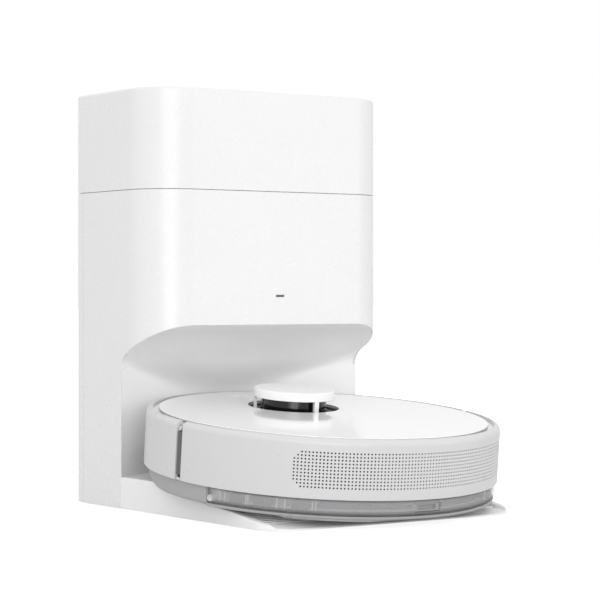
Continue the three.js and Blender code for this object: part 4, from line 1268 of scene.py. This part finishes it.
def chassis():
    """The underbody: a dished plate in front, the roof over the tank behind, tunnel and caster cup."""
    dish = [(0, -70), (160, -70), (165, -69.2), (168, -66.8), (169.4, -63), (170.2, -56.8), (168.2, -56.8),
            (167.2, -62), (165, -65.4), (160, -66.8), (0, -66.8)]
    obj = lathe("underbody", dish, ROBOT, 192)
    edge = TANK_FRONT_Y
    cut(obj, block("tail", (-300, 300), (-300, edge + 0.3), (-90, 0), ROBOT))
    cup = [(4.4, -53.7), (4.4, -51), (23.4, -51), (23.4, -70), (20.8, -70), (20.8, -53.7)]
    cut(obj, prism("cup_hole", disc_outline(22, 0, 128, 64), -80, -60, ROBOT))
    fuse(obj, block("step", (-155, 155), (edge + 0.3, edge + 3), (-70, -53.2), ROBOT))
    roof = rear_part("roof", [(0, -56.1), (170.4, -56.1), (170.4, -53), (0, -53)], edge + 3)
    fuse(obj, roof)
    fuse(obj, lathe("cup", cup, ROBOT, 64, centre=(0, 128)))
    holes = [block("mouth", (-83, 83), (54.4, 97.6), (-80, -60), ROBOT)]
    for x in (-104, 104):
        holes.append(prism("well", rounded_box(x - 20, x + 20, -38, 44, 5, 5, 5), -90, -50, ROBOT))
    cut(obj, merge("openings", holes))
    fuse(obj, brush_tunnel())
    obj = soften(obj, 0.35, 2, 50)
    # Painted shade: dressed mid grey, darker than its pale grey plastic, so the underbody reads shaded under the
    # shell.
    dress(obj, "mid_grey_plastic", "robot", "chassis", slot="pale_grey_plastic")
    for name, side in (("left", -1), ("right", 1)):
        side_skirt(name, side)
    brackets()


def brush_tunnel():
    """The arched housing over the main brush, open below."""
    tunnel = prism("tunnel", disc_outline(24.5, 76, -58, 64), -86, 86, ACROSS)
    bore = prism("bore", disc_outline(21.6, 76, -58, 64), -83, 83, ACROSS)
    return cut(tunnel, bore, block("below", (-100, 100), (0, 200), (-120, -67), ROBOT))


def brackets():
    """What holds the main brush's ends and the two wheel arms' pivots."""
    for n, side in enumerate((-1, 1)):
        x = side * 84.6
        obj = block(f"brush_bearing_{n + 1}", (x - 1.5, x + 1.5), (70, 82), (-69, -44), ROBOT)
        dress(soften(obj, 0.4, 2), "grey_plastic", "robot")
        x = side * 80.5
        obj = block(f"arm_bracket_{n + 1}", (x - 2.9, x + 2.9), (28, 42), (-67.5, -42), ROBOT)
        cut(obj, prism("bore", disc_outline(3.4, 35, -52, 32), x - 6, x + 6, ACROSS))
        dress(soften(obj, 0.4, 2), "grey_plastic", "robot")


def side_skirt(name, side):
    """The underbody's flank beside the wheel, deepening towards the tank."""
    turn_under = [(169, 3.4), (167.4, 1.2), (164.6, 0.2), (158, 0)]
    outer, inner = [], []
    for i in range(31):
        angle = lerp(30, -16, i / 30)
        low = -70 - 4.4 * ease((30 - angle) / 22)
        rows = [(170.6, -56.9), (170, -62)] + [(r, low + h) for r, h in turn_under]
        t = math.radians(angle)
        for r, h in rows:
            outer.append((side * r * math.cos(t), r * math.sin(t), h))
            inner.append((side * (r - 1.4) * math.cos(t), (r - 1.4) * math.sin(t), h + 1))
    faces = grid_faces(31, 6)
    obj = tidy(new_object(f"side_skirt_{name}", *thicken(outer, inner, faces), ROBOT))
    # Painted shade: mid grey instead of its pale grey plastic, so the flank reads shaded under the shell.
    dress(smooth(obj, 50), "mid_grey_plastic", "robot", slot="pale_grey_plastic")


# ---- Soft pieces and filters inside ----
BAG_LOW, BAG_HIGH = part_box("dust_bag")
BAG_MARGIN = 9
BAG_SWELL = 7.5


def voxel_remesh(obj, size):
    step = obj.modifiers.new("remesh", "REMESH")
    step.mode = "VOXEL"
    step.voxel_size = size * MM
    return evaluate(obj)


def inflate(obj, cap, pressure=4.0, frames=20):
    """Blows a closed piece up as cloth and lets no point move further than cap."""
    start = [vertex.co.copy() for vertex in obj.data.vertices]
    cloth = obj.modifiers.new("inflate", "CLOTH")
    cloth.settings.use_pressure = True
    cloth.settings.uniform_pressure_force = pressure
    cloth.settings.effector_weights.gravity = 0
    cloth.settings.quality = 6
    cloth.settings.tension_stiffness = 25
    cloth.settings.bending_stiffness = 2
    for frame_number in range(1, frames + 1):
        bpy.context.scene.frame_set(frame_number)
    evaluate(obj)
    for vertex, home in zip(obj.data.vertices, start):
        moved = vertex.co - home
        vertex.co = home + moved * min(1, cap * MM / max(moved.length, 1e-9))
    bpy.context.scene.frame_set(1)
    return obj


def subdivide(obj):
    step = obj.modifiers.new("subdivide", "SUBSURF")
    step.levels = 1
    step.render_levels = 1
    return evaluate(obj)


def bag_outline(shrink, pinch, steps=10):
    """The bag seen from above, with its two ends folded in at the middle."""
    x0, x1 = BAG_LOW.x / MM + shrink, BAG_HIGH.x / MM - shrink
    y0, y1 = BAG_LOW.y / MM + shrink, BAG_HIGH.y / MM - shrink
    middle = (y0 + y1) / 2
    points = []
    for x, y in dense(rounded_box(x0, x1, y0, y1, 24 - shrink / 2, 24 - shrink / 2, steps), 4):
        fold = pinch * math.exp(-((y - middle) / 9) ** 2) if x < x0 + 30 or x > x1 - 30 else 0
        points.append((x + fold if x < 0 else x - fold, y))
    return points


def dense(outline, spacing):
    """The same closed outline with points at most spacing apart."""
    points = []
    for (ax, ay), (bx, by) in zip(outline, outline[1:] + outline[:1]):
        steps = max(1, math.ceil(math.hypot(bx - ax, by - ay) / spacing))
        points += [(lerp(ax, bx, k / steps), lerp(ay, by, k / steps)) for k in range(steps)]
    return points


def dust_bag():
    """A welded fleece bag: gusseted ends, creases where it was folded flat, blown up by the air in it."""
    low, top = BAG_LOW.z / MM + 2, BAG_HIGH.z / MM - BAG_MARGIN
    levels = []
    for k in range(31):
        t = k / 30
        rounding = 16 * (1 - math.sqrt(max(1 - max(0, 1 - t * 6, t * 6 - 5) ** 2, 0)))
        crease = 3.4 * sum(math.exp(-((t - at) / 0.022) ** 2) for at in (0.34, 0.66))
        levels.append((bag_outline(BAG_MARGIN + rounding + crease, 15), lerp(low, top, t)))
    obj = loft("dust_bag_cloth", levels, Matrix())
    voxel_remesh(obj, 5)
    inflate(obj, BAG_SWELL)
    crumple(obj)
    dress(smooth(subdivide(obj), 180), "bag_cloth", "dock", "dust_bag")
    bag_welds(obj)


def crumple(obj):
    """Shallow wrinkles, deepest low down by the collar, that leave the bag inside its box."""
    collar = Vector((-0.1, 0.162, 0.259))
    for vertex, normal in [(v, v.normal.copy()) for v in obj.data.vertices]:
        x, y, z = vertex.co / MM
        near = math.exp(-(vertex.co - collar).length / 0.09)
        upright = math.sin(x * 0.21 + 1.7 * math.sin(z * 0.05))
        ripple = upright * math.sin(z * 0.16 + 0.9 * math.sin(x * 0.06 + y * 0.08))
        vertex.co -= normal * (0.5 + 0.5 * ripple) * (1.1 + 1.6 * near) * MM
        for axis in range(3):
            vertex.co[axis] = min(max(vertex.co[axis], BAG_LOW[axis] + 0.0004), BAG_HIGH[axis] - 0.0016)


def bag_welds(bag):
    """The flattened weld that stands up along the top of the bag, pressed in a row of dots."""
    tree = BVHTree.FromObject(bag, bpy.context.evaluated_depsgraph_get())
    middle = (BAG_LOW.y + BAG_HIGH.y) / 2
    crest = []
    for k in range(61):
        x = lerp(BAG_LOW.x + 0.022, BAG_HIGH.x - 0.022, k / 60)
        hit = tree.ray_cast(Vector((x, middle, 1)), Vector((0, 0, -1)))[0]
        crest.append((x / MM, hit.z / MM if hit else BAG_HIGH.z / MM - 6))
    front, back = [], []
    for n, (x, z) in enumerate(crest):
        pressed = 0.25 if n % 3 == 1 else 0
        for h, half in ((-1.2, 0.7), (0.6, 0.65 - pressed), (1.5, 0.6)):
            height = min(z + h, BAG_HIGH.z / MM - 0.1)
            front.append((x, middle / MM - half, height))
            back.append((x, middle / MM + half, height))
    faces = grid_faces(len(crest), 3)
    obj = tidy(new_object("bag_weld", *thicken(front, back, faces), Matrix()))
    dress(smooth(obj, 50), "bag_cloth", "dock")


def pleats(name, node, body, along, across, pitch=3.2):
    """A folded paper filter: pleats that run along one axis of the node's box inside a thin frame."""
    low, high = (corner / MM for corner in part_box(node))
    depth = 3 - along - across
    wall = 1.6
    count = max(2, round((high[across] - low[across] - 2 * wall) / pitch)) * 2
    front, back = [], []
    for k in range(count + 1):
        place = lerp(low[across] + wall, high[across] - wall, k / count)
        d = high[depth] - 0.8 if k % 2 else low[depth] + 1.6
        for end in (low[along] + wall, high[along] - wall):
            for points, offset in ((front, 0.0), (back, -0.8)):
                spot = [0, 0, 0]
                spot[across], spot[depth], spot[along] = place, d + offset, end
                points.append(tuple(spot))
    obj = tidy(new_object(f"{name}_paper", *thicken(front, back, grid_faces(count + 1, 2)), Matrix()))
    dress(obj, "filter_paper", body, node)
    bars = []
    for axis, other in ((across, along), (along, across)):
        for at in (low[axis], high[axis] - wall):
            lo, hi = list(low), list(high)
            lo[axis], hi[axis] = at, at + wall
            if other == across:
                lo[other], hi[other] = lo[other] + wall, hi[other] - wall
            bars.append(block("bar", *zip(lo, hi), Matrix()))
    rim = merge(f"{name}_frame", bars)
    dress(soften(rim, 0.3, 2), "dark_plastic", body)


# ---- CAD nodes that stay ----
def finish_nodes():
    """Every CAD node left showing takes the looks of its material slot."""
    for row in frame["record"]["subparts"]:
        obj = frame["nodes"][row["node"]]
        for slot in obj.material_slots:
            slot.material = MATERIALS[row["material_slot"]]


camera()
studio()
tower_shell()
lid_shell()
bay_liner()
dock_base()
rear_cover()
shell("rear_wall", False, "rear_shell", "robot")
shell("bumper_wall", True, "bumper", "bumper")
grille_backing()
seam_strips()
groove_ring()
top_cover()
buttons()
lidar_housing()
lidar_drum()
lidar_cap()
water_tank()
tank_latch()
mop_plate()
mop_pad()
wheels()
brush_roller()
brush_guard()
side_brush()
underside_details()
chassis()
dust_bag()
pleats("exhaust_filter", "exhaust_filter", "dock", 2, 0)
finish_nodes()
